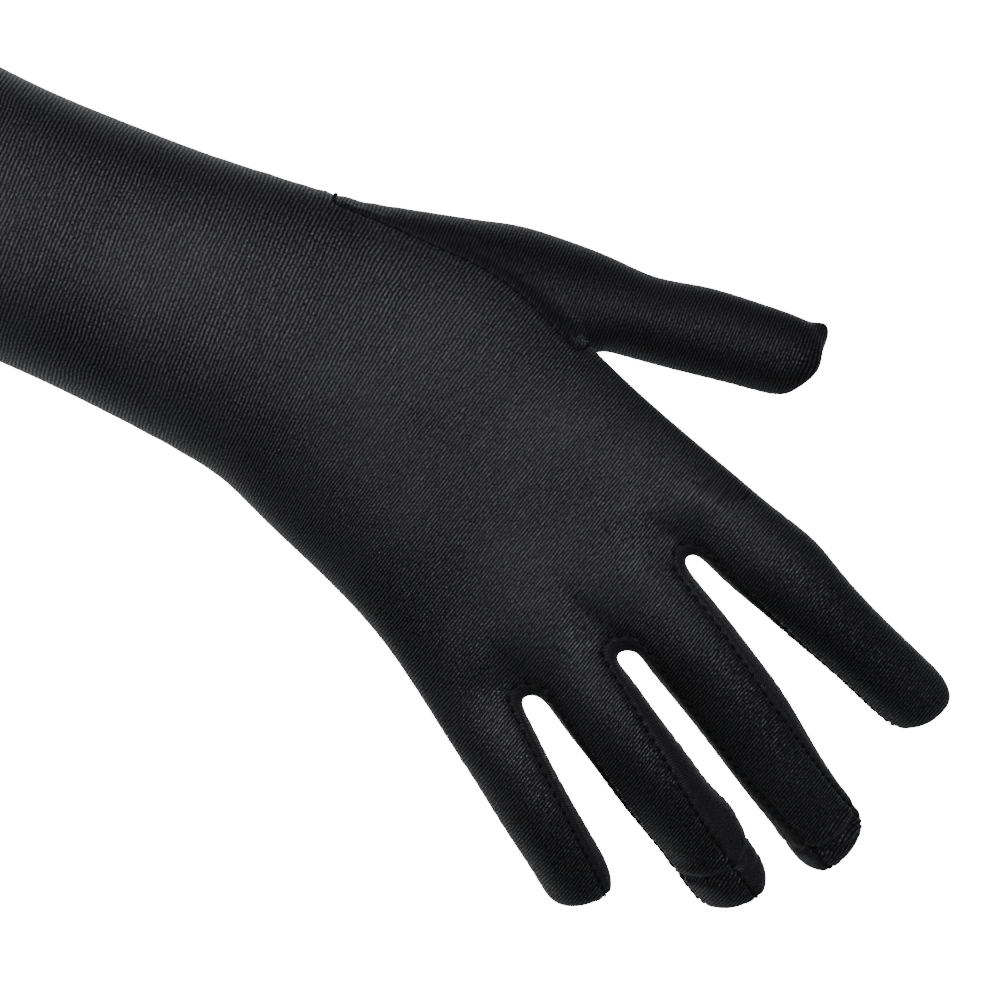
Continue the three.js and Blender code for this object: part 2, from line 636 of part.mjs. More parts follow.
const wristRow = buildSleeve();
const handRows = buildHand(wristRow);
buildFingers(buildKnuckles(handRows.at(-1)));
buildThumb(handRows);

const glove = new THREE.Group();
glove.name = "opera_glove";
addCloth(glove);
addHem(glove);

export default glove;
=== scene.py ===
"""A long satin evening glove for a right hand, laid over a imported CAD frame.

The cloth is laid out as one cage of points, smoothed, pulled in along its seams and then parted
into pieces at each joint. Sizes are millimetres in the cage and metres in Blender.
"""
import json
import math
from functools import lru_cache

import bpy
import numpy as np
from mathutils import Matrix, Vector
from mathutils.kdtree import KDTree

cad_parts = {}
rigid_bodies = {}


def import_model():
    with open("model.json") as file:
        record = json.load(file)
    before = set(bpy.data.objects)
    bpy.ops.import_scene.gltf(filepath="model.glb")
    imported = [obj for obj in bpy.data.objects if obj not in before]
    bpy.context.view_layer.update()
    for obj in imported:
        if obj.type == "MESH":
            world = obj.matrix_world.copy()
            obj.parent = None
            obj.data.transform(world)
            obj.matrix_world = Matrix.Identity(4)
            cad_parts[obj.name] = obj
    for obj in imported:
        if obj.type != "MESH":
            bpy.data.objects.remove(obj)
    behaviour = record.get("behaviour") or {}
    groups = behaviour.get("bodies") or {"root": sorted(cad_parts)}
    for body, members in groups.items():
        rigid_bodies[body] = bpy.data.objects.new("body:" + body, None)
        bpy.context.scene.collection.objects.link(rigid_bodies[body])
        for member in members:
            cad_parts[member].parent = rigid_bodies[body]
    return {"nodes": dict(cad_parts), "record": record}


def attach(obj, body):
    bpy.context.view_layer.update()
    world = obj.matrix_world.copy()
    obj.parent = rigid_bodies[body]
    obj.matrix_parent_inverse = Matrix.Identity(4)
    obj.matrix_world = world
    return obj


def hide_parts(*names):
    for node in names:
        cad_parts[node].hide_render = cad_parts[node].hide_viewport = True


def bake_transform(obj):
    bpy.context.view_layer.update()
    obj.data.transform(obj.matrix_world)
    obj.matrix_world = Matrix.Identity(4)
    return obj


bl_info = {
    "name": "Opera Glove",
    "version": (1, 0, 0),
    "blender": (4, 5, 0),
    "location": "View3D > Sidebar > Opera Glove",
    "description": "Sews a long satin evening glove over a jointed frame",
    "category": "Object",
}

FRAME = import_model()
bpy.context.view_layer.update()
JOINTS = {joint["name"]: joint for joint in FRAME["record"]["behaviour"]["joints"]}
MM = 0.001

# ---- Sizes of the pattern, in millimetres and degrees ----
ELBOW_X = JOINTS["elbow_flex"]["pos_m"][0] / MM
# The hand's pattern starts this far past the joint of the wrist.
WRIST_SETBACK = 16
WRIST_X = JOINTS["wrist_flex"]["pos_m"][0] / MM + WRIST_SETBACK
SLEEVE_SPLIT_X = ELBOW_X + 55
HEM_INSET = 2.5
HEM_DEPTH = 15
HEM_STITCHES = (12.2, 9.8)
HEM_FOLD, HEM_CURVE, HEM_MIDDLE, HEM_END = 0.2, 1.6, 6, 22
INNER_FOLD_SHARE, OUTER_FOLD_SHARE = 0.72, 0.28

SEAM_ANGLE = 50
CROTCH_SETBACK = 8
WEB_DEPTH = 0.85
TIP_SQUARENESS = 2.6
TIP_SEAM_SHARE = 0.55
TIP_LENGTH_SHARE = 1.1
TIP_ROWS = (0.3, 0.55, 0.75, 0.9, 0.975)
ROW_SPACING = 4.6
THUMB_SEAM_ANGLE = 45
THUMB_FLARE = 30
FLARE_ROWS = (0.2, 0.4, 0.6, 0.8, 1)
SECTION_POWER = 2.2
EDGE_SHARE = 0.93
BACK_FACES, SIDE_FACES, GAP_FACES = 4, 4, 2
HOLE_ROWS = 8

FOREARM = WRIST_X - ELBOW_X
# Place along the arm, half width, half depth.
SLEEVE = (
    (0, 44, 42),
    (ELBOW_X * 0.5, 42, 40),
    (ELBOW_X, 40, 38),
    (ELBOW_X + FOREARM * 0.2, 40, 36.5),
    (ELBOW_X + FOREARM * 0.45, 35.5, 32),
    (ELBOW_X + FOREARM * 0.7, 27.2, 25.5),
    (ELBOW_X + FOREARM * 0.84, 27.2, 22.4),
    (ELBOW_X + FOREARM * 0.94, 28.6, 20.6),
)
# Thumb side and little finger side of the hand from the wrist, half depth, height.
HAND = (
    ((2, 30.5), (-2, -30.4), 19.4, 0.2),
    ((20, 31.2), (12, -35.6), 17.8, 1),
    ((38, 30.2), (24, -40), 16.6, 1.8),
    ((56, 23), (36, -45), 15.4, 2.4),
    ((71, 17.6), (46, -50), 14.2, 2.6),
    ((86, 12.4), (55, -56), 12.8, 2.2),
)
HOLE_END_STATION = 3


class Finger:
    """One finger of the pattern, with the places where it bends and where its cloth is parted."""

    def __init__(self, name, thumb_side, little_side, height, heading, length, half_width,
                 half_depth, droop, bends, parts, twist=(0, 0, 0), tip_slant=0, beside=()):
        self.name = name
        self.thumb_side = np.array([*thumb_side, 0.0])
        self.little_side = np.array([*little_side, 0.0])
        self.height = height
        self.length = length
        self.bends = bends
        self.parts = parts
        self.twist = twist
        self.tip_slant = tip_slant
        self.beside = beside
        turn = math.radians(heading)
        self.ahead = np.array([math.cos(turn), math.sin(turn), 0.0])
        self.across = np.array([-math.sin(turn), math.cos(turn), 0.0])
        self.places = np.array([0, length * 0.5, length])
        self.half_width = half_width
        self.half_depth = half_depth
        self.droop = droop
        middle = (self.thumb_side + self.little_side) / 2
        self.base = middle + np.array([WRIST_X, 0, height])
        self.base_across = (self.thumb_side - self.little_side) / 2
        self.tip_length = half_width[2] * TIP_LENGTH_SHARE

    def middle(self, place):
        steps = 24
        spots = place * (np.arange(steps) + 0.5) / steps
        droop = np.radians(smooth_curve(self.places, self.droop, spots))
        run = np.cos(droop).sum() * place / steps
        fall = np.sin(droop).sum() * place / steps
        end = math.radians(float(smooth_curve(self.places, self.droop, place)))
        along = self.ahead * math.cos(end) - UP * math.sin(end)
        return self.base + self.ahead * run - UP * fall, along, np.cross(along, self.across)

    def point(self, angle, place):
        middle, along, outward = self.middle(place)
        half_width = float(smooth_curve(self.places, self.half_width, place))
        half_depth = float(smooth_curve(self.places, self.half_depth, place))
        into_tip = max(0.0, (place - self.length) / self.tip_length + 1)
        taper = max(0.0, 1 - into_tip ** TIP_SQUARENESS) ** (1 / TIP_SQUARENESS)
        half_width *= TIP_SEAM_SHARE + (1 - TIP_SEAM_SHARE) * taper
        half_depth *= taper
        twist = math.radians(float(smooth_curve(self.places, self.twist, place)))
        side = self.across * math.cos(twist) - outward * math.sin(twist)
        up = outward * math.cos(twist) + self.across * math.sin(twist)
        square = smooth_step(place / self.bends[0])
        lateral = self.base_across * (1 - square) + side * half_width * square
        turn = math.radians(angle)
        ahead = along * self.tip_slant * into_tip ** 2 * math.sin(turn)
        return middle + lateral * math.sin(turn) + up * half_depth * math.cos(turn) + ahead

    def base_point(self, angle):
        back = CROTCH_SETBACK * math.cos(math.radians(angle)) ** 2
        return self.point(angle, 0) - self.ahead * back, -back


UP = np.array([0.0, 0.0, 1.0])


def smooth_step(t):
    t = min(max(t, 0.0), 1.0)
    return t * t * (3 - 2 * t)


def smooth_curve(places, values, at):
    """A smooth curve through values at places, one column of values at a time."""
    places = np.asarray(places, float)
    values = np.asarray(values, float)
    at = np.clip(np.asarray(at, float), places[0], places[-1])
    slopes = np.gradient(values, places, axis=0)
    i = np.clip(np.searchsorted(places, at, side="right") - 1, 0, len(places) - 2)
    width = places[i + 1] - places[i]
    t = (at - places[i]) / width
    if values.ndim > 1:
        t, width = np.expand_dims(t, -1), np.expand_dims(width, -1)
    a = 2 * t ** 3 - 3 * t ** 2 + 1
    b = t ** 3 - 2 * t ** 2 + t
    c = -2 * t ** 3 + 3 * t ** 2
    d = t ** 3 - t ** 2
    return a * values[i] + b * width * slopes[i] + c * values[i + 1] + d * width * slopes[i + 1]


FINGERS = (
    Finger("little", (72.8, -48.8), (63.7, -62.6), -0.4, -36.8, 48, (8.3, 7.3, 7.1),
           (8.2, 7.2, 6.5), (15, 33, 46), (7, 19.5, 33), (13.3, 27),
           twist=(0, -9, -20), tip_slant=1.2, beside=("", "ring")),
    Finger("ring", (87, -33.2), (76.5, -46.2), 0.8, -30.3, 66, (8.8, 8.2, 7.7),
           (9, 7.8, 7), (15, 33, 46), (8.5, 25, 45), (16.8, 35.5),
           twist=(0, -29, -36), beside=("little", "middle")),
    Finger("middle", (92.6, -10.6), (90.5, -30.6), 1.6, -30.3, 73, (9.7, 8.5, 7.9),
           (9.5, 8.2, 7.3), (15, 33, 46), (11.5, 29, 50), (20, 40),
           twist=(0, -3, 22), beside=("ring", "index")),
    Finger("index", (101.5, 7.9), (94.3, -8.2), 1, -19.2, 66, (9.4, 7.9, 7.6),
           (9.2, 7.9, 7.1), (15, 33, 46), (8.5, 25, 45), (17, 35.5),
           twist=(0, -30, -34), beside=("middle", "")),
)
THUMB = Finger("thumb", (35, 39.4), (58, 21.2), -7, 7, 56, (9.6, 9.2, 8.3), (12.5, 9.4, 7.8),
               (6, 14, 22), (15.5, 35.5), (25,), tip_slant=2.2)

# How the ribs turn over the hand and the thumb, in degrees, and how much closer they lie there.
RIB_TURN = -16
THUMB_RIB_TURN = 0
RIB_CLOSING = 1.25

# Painted shade on the fingers: how much darker their colour is made, and over what length it gets
# so.
FINGER_PAINTED_SHADE = 0.45
FINGER_PAINTED_SHADE_LENGTH = 34

# Where the thumb side of a finger stands fuller or slimmer than its pattern: how far along it, over
# what reach, and by how much.
FULLNESS = {"index": (15, 8, 1.0), "middle": (29, 15, 1.2), "ring": (45, 6, 1.1),
            "thumb": (20, 9, -1.5)}

# How often the cage is smoothed, and how high the thread lies on the cloth.
SMOOTHING_LEVELS = 3
THREAD_LIFT = 0.2

# A seam turns a corner where its way, over that many points, turns past this cosine. The stitches
# stop this far from it.
CORNER_SPAN = 3
CORNER_COSINE = 0.3
CORNER_CLEARANCE = 1.4

# How the cloth sinks along a seam: the groove, the ridge beside it, and the pucker of the stitches.
SEAM_SAMPLING = 0.3
GROOVE_REACH = 0.5
RIDGE_SHARE, RIDGE_PLACE, RIDGE_REACH = 0.7, 1.5, 0.9
PUCKER_PLACE, PUCKER_REACH = 0.9, 1.3

# How long a stretch of cloth passes from one body to the next at each joint.
BEND_LENGTHS = {"wrist_flex": 27.6, "elbow_flex": 92, "knuckle": 14.2, "middle_bend": 12.6,
                "tip_bend": 10, "thumb_knuckle": 13.2, "thumb_tip_bend": 14,
                "little_knuckle": 12.6, "little_middle_bend": 12}


# ---- The cage ----
class Cage:
    """Points, faces with their cloth and place, and the edges that are sewn."""

    def __init__(self):
        self.points = []
        self.faces = []
        self.cloths = []
        self.uvs = []
        self.sewn = {}

    def add_row(self, positions):
        first = len(self.points)
        self.points.extend(np.asarray(p, float) for p in positions)
        return list(range(first, len(self.points)))

    def add_band(self, first, second, cloth_of, closed=True):
        """first and second are (numbers, uvs), with one more uv than numbers if closed."""
        (a, a_uv), (b, b_uv) = first, second
        for k in range(len(a) if closed else len(a) - 1):
            n = (k + 1) % len(a)
            cloth = cloth_of(k)
            if cloth is None:
                continue
            corners = [(a[k], a_uv[k]), (b[k], b_uv[k]), (b[n], b_uv[k + 1]), (a[n], a_uv[k + 1])]
            kept = [c for i, c in enumerate(corners) if c[0] != corners[(i + 1) % 4][0]]
            if len(kept) > 2:
                self.faces.append([c[0] for c in kept])
                self.uvs.append([c[1] for c in kept])
                self.cloths.append(cloth)

    def add_bands(self, rows, cloth_of, closed=True):
        for i, (first, second) in enumerate(zip(rows, rows[1:])):
            self.add_band(first, second, lambda k: cloth_of(k, i), closed)

    def sew(self, numbers, name):
        for a, b in zip(numbers, numbers[1:]):
            if a != b:
                self.sewn[(min(a, b), max(a, b))] = name

    def sew_between_cloths(self):
        """Every edge where two different cloths meet is a seam of the part they lie in."""
        owner = {}
        for face, (cloth, part) in zip(self.faces, self.cloths):
            for i, a in enumerate(face):
                b = face[(i + 1) % len(face)]
                edge = (min(a, b), max(a, b))
                if edge in owner and owner[edge][0] != cloth:
                    self.sewn[edge] = part
                owner[edge] = (cloth, part)


def girth_uv(cage, numbers, along, closed=True):
    """The uvs of a row: how far round it each point is, and how far along the cloth."""
    points = np.array([cage.points[n] for n in numbers])
    if closed:
        points = np.vstack([points, points[:1]])
    lengths = np.linalg.norm(np.diff(points, axis=0), axis=1)
    girth = np.concatenate([[0], np.cumsum(lengths)])
    along = np.broadcast_to(along, (len(girth),))
    return [(float(u), float(v)) for u, v in zip(girth, along)]


def between(start, end, count):
    return [start + (end - start) * (i + 1) / (count + 1) for i in range(count)]


# ---- Columns round the arm and hand, as in the frame ----
def hand_columns():
    widths = []
    for finger in FINGERS:
        base = np.linalg.norm(finger.thumb_side - finger.little_side)
        strip = base * math.sin(math.radians(SEAM_ANGLE))
        widths += [strip / BACK_FACES] * BACK_FACES
        if finger is not FINGERS[-1]:
            widths += [(base - strip) / GAP_FACES] * GAP_FACES
    shares = EDGE_SHARE * (2 * np.concatenate([[0], np.cumsum(widths)]) / sum(widths) - 1)
    lifts = (1 - np.abs(shares) ** SECTION_POWER) ** (1 / SECTION_POWER)
    turn = math.acos(EDGE_SHARE ** (SECTION_POWER / 2))
    turns = between(turn, -turn, SIDE_FACES - 1)
    edge = [(math.cos(t) ** (2 / SECTION_POWER),
             math.copysign(abs(math.sin(t)) ** (2 / SECTION_POWER), t)) for t in turns]
    back = list(zip(shares, lifts))
    palm = [(share, -lift) for share, lift in reversed(back)]
    return np.array(back + edge + palm + [(-share, -lift) for share, lift in edge])


COLUMNS = hand_columns()
BACK_POINTS = len(FINGERS) * (BACK_FACES + GAP_FACES) - GAP_FACES + 1
PALM_START = BACK_POINTS + SIDE_FACES - 1
SIDE_SEAM = PALM_START + BACK_POINTS
HOLE_BACK = BACK_POINTS - 1
HOLE_PALM = HOLE_BACK + HOLE_ROWS
THUMB_SIDE = BACK_FACES
PALM_SIDE = THUMB_SIDE + SIDE_FACES
LITTLE_SIDE = PALM_SIDE + BACK_FACES

ARM_STATIONS = np.array(
    [(x, w, x, -w, d, 0) for x, w, d in SLEEVE]
    + [(WRIST_X + t[0], t[1], WRIST_X + l[0], l[1], d, h) for t, l, d, h in HAND])
ARM_PLACES = (ARM_STATIONS[:, 0] + ARM_STATIONS[:, 2]) / 2
HAND_PLACES = ARM_PLACES[len(SLEEVE):]


def palm_column(back_column):
    return PALM_START + BACK_POINTS - 1 - back_column


def arm_section(place, inset=0.0):
    tx, ty, lx, ly, half_depth, height = smooth_curve(ARM_PLACES, ARM_STATIONS, place)
    middle = np.array([(tx + lx) / 2, (ty + ly) / 2, height])
    across = np.array([(tx - lx) / 2, (ty - ly) / 2, 0])
    across *= 1 - inset / np.linalg.norm(across)
    share, lift = COLUMNS[:, :1], COLUMNS[:, 1:]
    return middle + across * share + UP * (half_depth - inset) * lift


def ring_angles(back_angle, back_faces, side_faces):
    turns = [-back_angle, back_angle, 180 - back_angle, 180 + back_angle, 360 - back_angle]
    counts = [back_faces, side_faces, back_faces, side_faces]
    angles = []
    for i, count in enumerate(counts):
        angles += [turns[i], *between(turns[i], turns[i + 1], count - 1)]
    return angles


FINGER_ANGLES = ring_angles(SEAM_ANGLE, BACK_FACES, SIDE_FACES)
THUMB_ANGLES = ring_angles(THUMB_SEAM_ANGLE, HOLE_ROWS, HOLE_ROWS)


# ---- Laying out the cloth ----
def lay_arm(cage):
    def arm_row(place):
        section = arm_section(place)
        numbers = cage.add_row(section)
        along = (place + section[:, 0]) / 2
        return numbers, girth_uv(cage, numbers, [*along, along[0]])

    turned = []
    for x, inset in ((HEM_DEPTH, HEM_INSET), (HEM_STITCHES[0], HEM_INSET),
                     (HEM_MIDDLE, HEM_INSET), (HEM_CURVE, HEM_INSET),
                     (HEM_FOLD, HEM_INSET * INNER_FOLD_SHARE)):
        numbers = cage.add_row(arm_section(x, inset))
        turned.append((numbers, girth_uv(cage, numbers, -x)))
    hem_places = [HEM_FOLD, HEM_CURVE, HEM_MIDDLE, *sorted(HEM_STITCHES), HEM_DEPTH, HEM_END]
    numbers = cage.add_row(arm_section(HEM_FOLD, HEM_INSET * OUTER_FOLD_SHARE))
    fold = (numbers, girth_uv(cage, numbers, 0))
    cage.add_bands([*turned, fold], lambda k, i: ("trank", "cuff"))
    hem = [fold, *(arm_row(x) for x in hem_places[1:])]
    upper = [hem[-1], *(arm_row(x) for x in between(HEM_END, SLEEVE_SPLIT_X, 4)),
             arm_row(SLEEVE_SPLIT_X)]
    cage.add_bands(hem, lambda k, i: ("trank", "upper"))
    cage.add_bands(upper, lambda k, i: ("trank", "upper"))
    for place in sorted(HEM_STITCHES):
        ring = hem[hem_places.index(place)][0]
        cage.sew([*ring, ring[0]], "hem")

    wrist, hole_end, last = HAND_PLACES[0], HAND_PLACES[HOLE_END_STATION], HAND_PLACES[-1]
    places = [wrist, *between(wrist, hole_end, HOLE_ROWS - 1), hole_end,
              *between(hole_end, last, 2), last]
    hand = [arm_row(place) for place in places]
    forearm = [upper[-1], *(arm_row(x) for x in between(SLEEVE_SPLIT_X, wrist, 8)), hand[0]]
    cage.add_bands(forearm, lambda k, i: ("trank", "forearm"))

    def hand_cloth(k, i):
        return None if i < HOLE_ROWS and HOLE_BACK <= k < HOLE_PALM else ("trank", "hand")

    cage.add_bands(hand, hand_cloth)
    for rows, part in (([*hem, *upper[1:]], "upper"), (forearm, "forearm"), (hand, "hand")):
        cage.sew([row[0][SIDE_SEAM] for row in rows], part)
    return hand


def hand_column_of(order, k):
    first = order * (BACK_FACES + GAP_FACES)
    if k <= THUMB_SIDE:
        return first + k
    if PALM_SIDE <= k <= LITTLE_SIDE:
        return palm_column(first + BACK_FACES - (k - PALM_SIDE))
    if order == len(FINGERS) - 1 and k < PALM_SIDE:
        return BACK_POINTS + k - THUMB_SIDE - 1
    if order == 0 and k > LITTLE_SIDE:
        return PALM_START + BACK_POINTS + k - LITTLE_SIDE - 1
    return None


def lay_web(cage, order):
    first, second = FINGERS[order], FINGERS[order + 1]
    crotch = (first.thumb_side + second.little_side) / 2
    height = (first.height + second.height) / 2
    depth = WEB_DEPTH * (first.half_depth[0] + second.half_depth[0]) / 2
    forward = first.ahead + second.ahead
    forward /= np.linalg.norm(forward)
    angles = [SEAM_ANGLE, *between(SEAM_ANGLE, 180 - SEAM_ANGLE, SIDE_FACES - 1), 180 - SEAM_ANGLE]
    points = []
    for angle in angles:
        lift = math.cos(math.radians(angle))
        point = crotch + np.array([WRIST_X, 0, height + depth * lift])
        points.append(point - forward * (1 + CROTCH_SETBACK * lift ** 2))
    return cage.add_row(points)


def lay_knuckles(cage, last):
    numbers, last_uv = last
    last_points = np.array([cage.points[n] for n in numbers])
    knuckles = [None] * len(COLUMNS)
    along = np.zeros(len(COLUMNS))
    bases = []
    for order, finger in enumerate(FINGERS):
        ring, starts, setbacks = [], [], []
        for k, angle in enumerate(FINGER_ANGLES):
            point, setback = finger.base_point(angle)
            number = cage.add_row([point])[0]
            column = hand_column_of(order, k)
            ring.append(number)
            setbacks.append(setback)
            starts.append(np.nan)
            if column is not None:
                knuckles[column] = number
                along[column] = last_uv[column][1] + np.linalg.norm(point - last_points[column])
                starts[k] = along[column] - setback
        starts = np.where(np.isnan(starts), np.nanmean(starts), starts)
        base_v = starts + np.array(setbacks)
        uv = girth_uv(cage, ring, [*base_v, base_v[0]])
        bases.append(((ring, uv), np.append(starts, starts[0])))
    webs = [lay_web(cage, order) for order in range(len(FINGERS) - 1)]
    for order, web in enumerate(webs):
        gap = order * (BACK_FACES + GAP_FACES) + BACK_FACES + 1
        for column, number in ((gap, web[0]), (palm_column(gap), web[-1])):
            knuckles[column] = number
            along[column] = (along[column - 1] + along[column + 1]) / 2
    row = (knuckles, girth_uv(cage, knuckles, [*along, along[0]]))
    last_v = np.array([uv[1] for uv in last_uv[:-1]])
    halfway_points = [(cage.points[a] + cage.points[b]) / 2 for a, b in zip(numbers, knuckles)]
    halfway = cage.add_row(halfway_points)
    mid_v = (last_v + along) / 2
    halfway = (halfway, girth_uv(cage, halfway, [*mid_v, mid_v[0]]))
    cage.add_bands([last, halfway, row], lambda k, i: ("trank", "hand"))
    cage.sew([r[0][SIDE_SEAM] for r in (last, halfway, row)], "hand")

    for order, web in enumerate(webs):
        name = f"fourchette_{FINGERS[order + 1].name}_{FINGERS[order].name}"
        (before, _), _ = bases[order]
        (other, _), _ = bases[order + 1]
        strips = [[other[0], *other[LITTLE_SIDE:][::-1]], web, before[THUMB_SIDE:PALM_SIDE + 1]]
        rows = [(strip, [(v, 3.0 * i) for v, _ in girth_uv(cage, strip, 0, closed=False)])
                for i, strip in enumerate(strips)]
        cage.add_bands(rows, lambda k, i: (name, "hand"), closed=False)
    return bases


def finger_cloth(finger, part, k):
    low, high = finger.beside
    if THUMB_SIDE <= k < PALM_SIDE and high:
        return (f"fourchette_{high}_{finger.name}", part)
    if k >= LITTLE_SIDE and low:
        return (f"fourchette_{finger.name}_{low}", part)
    return ("trank", part)


def lay_finger(cage, finger, base, start, angles, back_faces, side_faces, cloth_of, low=0.0):
    """Rows from low to the tip. Each cut between two parts of the finger has a row of its own."""
    tip_start = finger.length - finger.tip_length
    stops = [low, *finger.parts, tip_start]
    places = []
    for a, b in zip(stops, stops[1:]):
        places += [*between(a, b, max(1, round((b - a) / ROW_SPACING) - 1)), b]
    places += [tip_start + finger.tip_length * t for t in TIP_ROWS]
    rows = [base]
    for place in places:
        numbers = cage.add_row([finger.point(angle, place) for angle in angles])
        rows.append((numbers, girth_uv(cage, numbers, start + place)))
    corners = cage.add_row([finger.point(a, finger.length) for a in angles[:back_faces + 1]])
    palm_start = back_faces + side_faces
    tip = []
    for k in range(len(angles)):
        if k <= back_faces:
            tip.append(corners[k])
        elif k < palm_start:
            tip.append(corners[back_faces])
        else:
            tip.append(corners[max(0, back_faces - (k - palm_start))])
    tip_v = np.broadcast_to(start + finger.length, (len(tip) + 1,))
    rows.append((tip, [(u, float(v)) for (u, _), v in zip(rows[-1][1], tip_v)]))
    numbers = [1 + sum(place > cut + 0.01 for cut in finger.parts) for place in places]
    parts = [f"{finger.name}_{number}" for number in [*numbers, numbers[-1]]]
    cage.add_bands(rows, lambda k, i: cloth_of(k, parts[i]))
    cage.sew(corners, parts[-1])
    return rows, parts


def sew_column(cage, rows, parts, k):
    for first, second, part in zip(rows, rows[1:], parts):
        cage.sew([first[0][k], second[0][k]], part)


def lay_fingers(cage, bases):
    for finger, (base, start) in zip(FINGERS, bases):
        rows, parts = lay_finger(cage, finger, base, start, FINGER_ANGLES, BACK_FACES, SIDE_FACES,
                                 lambda k, part, f=finger: finger_cloth(f, part, k))
        if finger.name == "little":
            sew_column(cage, rows, parts, LITTLE_SIDE + 1)


def lay_thumb(cage, hand):
    hole = [numbers for numbers, _ in hand[:HOLE_ROWS + 1]]
    back = [row[HOLE_BACK] for row in hole][::-1]
    wrist = hole[0][HOLE_BACK:HOLE_PALM + 1]
    palm = [row[HOLE_PALM] for row in hole]
    crotch = hole[-1][HOLE_BACK:HOLE_PALM + 1][::-1]
    edge = [number for side in (back, wrist, palm, crotch) for number in side[:-1]]
    base = [THUMB.point(angle, 0) for angle in THUMB_ANGLES]
    flare = [(edge, girth_uv(cage, edge, -THUMB_FLARE))]
    for t in FLARE_ROWS:
        numbers = cage.add_row([cage.points[n] * (1 - t) + p * t for n, p in zip(edge, base)])
        flare.append((numbers, girth_uv(cage, numbers, -THUMB_FLARE + THUMB_FLARE * t)))
    cage.add_bands(flare, lambda k, i: ("thumb", "thumb_1"))
    rows, parts = lay_finger(cage, THUMB, flare[-1], 0.0, THUMB_ANGLES, HOLE_ROWS, HOLE_ROWS,
                             lambda k, part: ("thumb", part))
    seam = 3 * HOLE_ROWS + 2
    sew_column(cage, flare, ["thumb_1"] * len(flare), seam)
    sew_column(cage, rows, parts, seam)


def lay_out_pattern():
    cage = Cage()
    hand = lay_arm(cage)
    bases = lay_knuckles(cage, hand[-1])
    lay_fingers(cage, bases)
    lay_thumb(cage, hand)
    cage.sew_between_cloths()
    return cage


# ---- From the cage to cloth ----
class Cloth:
    """The smoothed glove as arrays, in millimetres."""

    def __init__(self, cage, levels):
        names = sorted(set(cage.cloths))
        mesh = bpy.data.meshes.new("pattern")
        mesh.from_pydata([tuple(p) for p in cage.points], [], cage.faces)
        label = mesh.attributes.new("cloth", "INT", "FACE")
        label.data.foreach_set("value", [names.index(c) for c in cage.cloths])
        seam_names = sorted(set(cage.sewn.values()))
        sewn = mesh.attributes.new("sewn", "INT", "EDGE")
        pairs = (tuple(sorted(edge.vertices)) for edge in mesh.edges)
        sewn.data.foreach_set(
            "value", [seam_names.index(cage.sewn[p]) + 1 if p in cage.sewn else 0 for p in pairs])
        uv = mesh.uv_layers.new(name="weave")
        uv.data.foreach_set("uv", [c for face in cage.uvs for corner in face for c in corner])
        pattern = bpy.data.objects.new("pattern", mesh)
        bpy.context.scene.collection.objects.link(pattern)
        smooth = pattern.modifiers.new("Smooth", "SUBSURF")
        smooth.levels = smooth.render_levels = levels
        bpy.context.view_layer.update()
        graph = bpy.context.evaluated_depsgraph_get()
        fine = bpy.data.meshes.new_from_object(pattern.evaluated_get(graph))
        bpy.data.objects.remove(pattern)
        bpy.data.meshes.remove(mesh)

        count = len(fine.vertices)
        self.points = read(fine.vertices, "co", 3)
        self.normals = read(fine.vertex_normals, "vector", 3)
        self.quads = read(fine.loops, "vertex_index", 0, int).reshape(-1, 4)
        self.uv = read(fine.uv_layers["weave"].data, "uv", 2).reshape(-1, 4, 2)
        self.label = read(fine.attributes["cloth"].data, "value", 0, int)
        self.names = names
        edges = read(fine.edges, "vertices", 2, int)
        seam = read(fine.attributes["sewn"].data, "value", 0, int)
        self.seams = []
        for i, name in enumerate(seam_names):
            for chain in chains(edges[seam == i + 1]):
                self.seams.append((name, chain))
        self.seam_reach = np.full(count, 99.0)
        bpy.data.meshes.remove(fine)

    def move(self, shift):
        """Moves every point along its normal, then works the normals out again."""
        self.points = self.points + self.normals * shift[:, None]
        corners = self.points[self.quads]
        facing = np.cross(corners[:, 2] - corners[:, 0], corners[:, 3] - corners[:, 1])
        owner = self.quads.ravel()
        spread = np.repeat(facing, 4, axis=0)
        total = np.column_stack([np.bincount(owner, spread[:, i], len(self.points))
                                 for i in range(3)])
        self.normals = total / np.linalg.norm(total, axis=1)[:, None]


def lay_ribs(cloth, name, over_hand_turn):
    """Runs the ribs of one cloth across the arm, turned by over_hand_turn degrees over the hand.

    They run straight on over the fingers, where they lie closer together."""
    spots = np.arange(-WRIST_X - 20, 200.0)
    over_hand = np.array([smooth_step((spot + 15) / 65) for spot in spots])
    turn = math.radians(over_hand_turn) * over_hand
    middle = np.column_stack([np.cumsum(np.cos(turn)), np.cumsum(np.sin(turn))])
    start = int(np.searchsorted(spots, 0))
    middle -= middle[start]
    own = np.isin(cloth.label, [i for i, (cloth_name, _) in enumerate(cloth.names)
                                if cloth_name == name])
    used, flat = np.unique(cloth.quads[own], return_inverse=True)
    points = cloth.points[used][:, :2] - [WRIST_X, 0]
    along = points[:, 0].copy()
    for _ in range(14):
        heading = np.interp(along, spots, turn)
        offset = points - np.column_stack([np.interp(along, spots, middle[:, i]) for i in (0, 1)])
        along += offset[:, 0] * np.cos(heading) + offset[:, 1] * np.sin(heading)
    run = np.cumsum(1 + (RIB_CLOSING - 1) * over_hand)
    cloth.uv[own, :, 1] = np.interp(along, spots, run)[flat.reshape(-1, 4)]


def read(items, name, width, kind=float):
    values = np.empty(len(items) * max(width, 1), np.float32 if kind is float else np.int32)
    items.foreach_get(name, values)
    values = values.astype(kind)
    return values.reshape(-1, width) if width else values


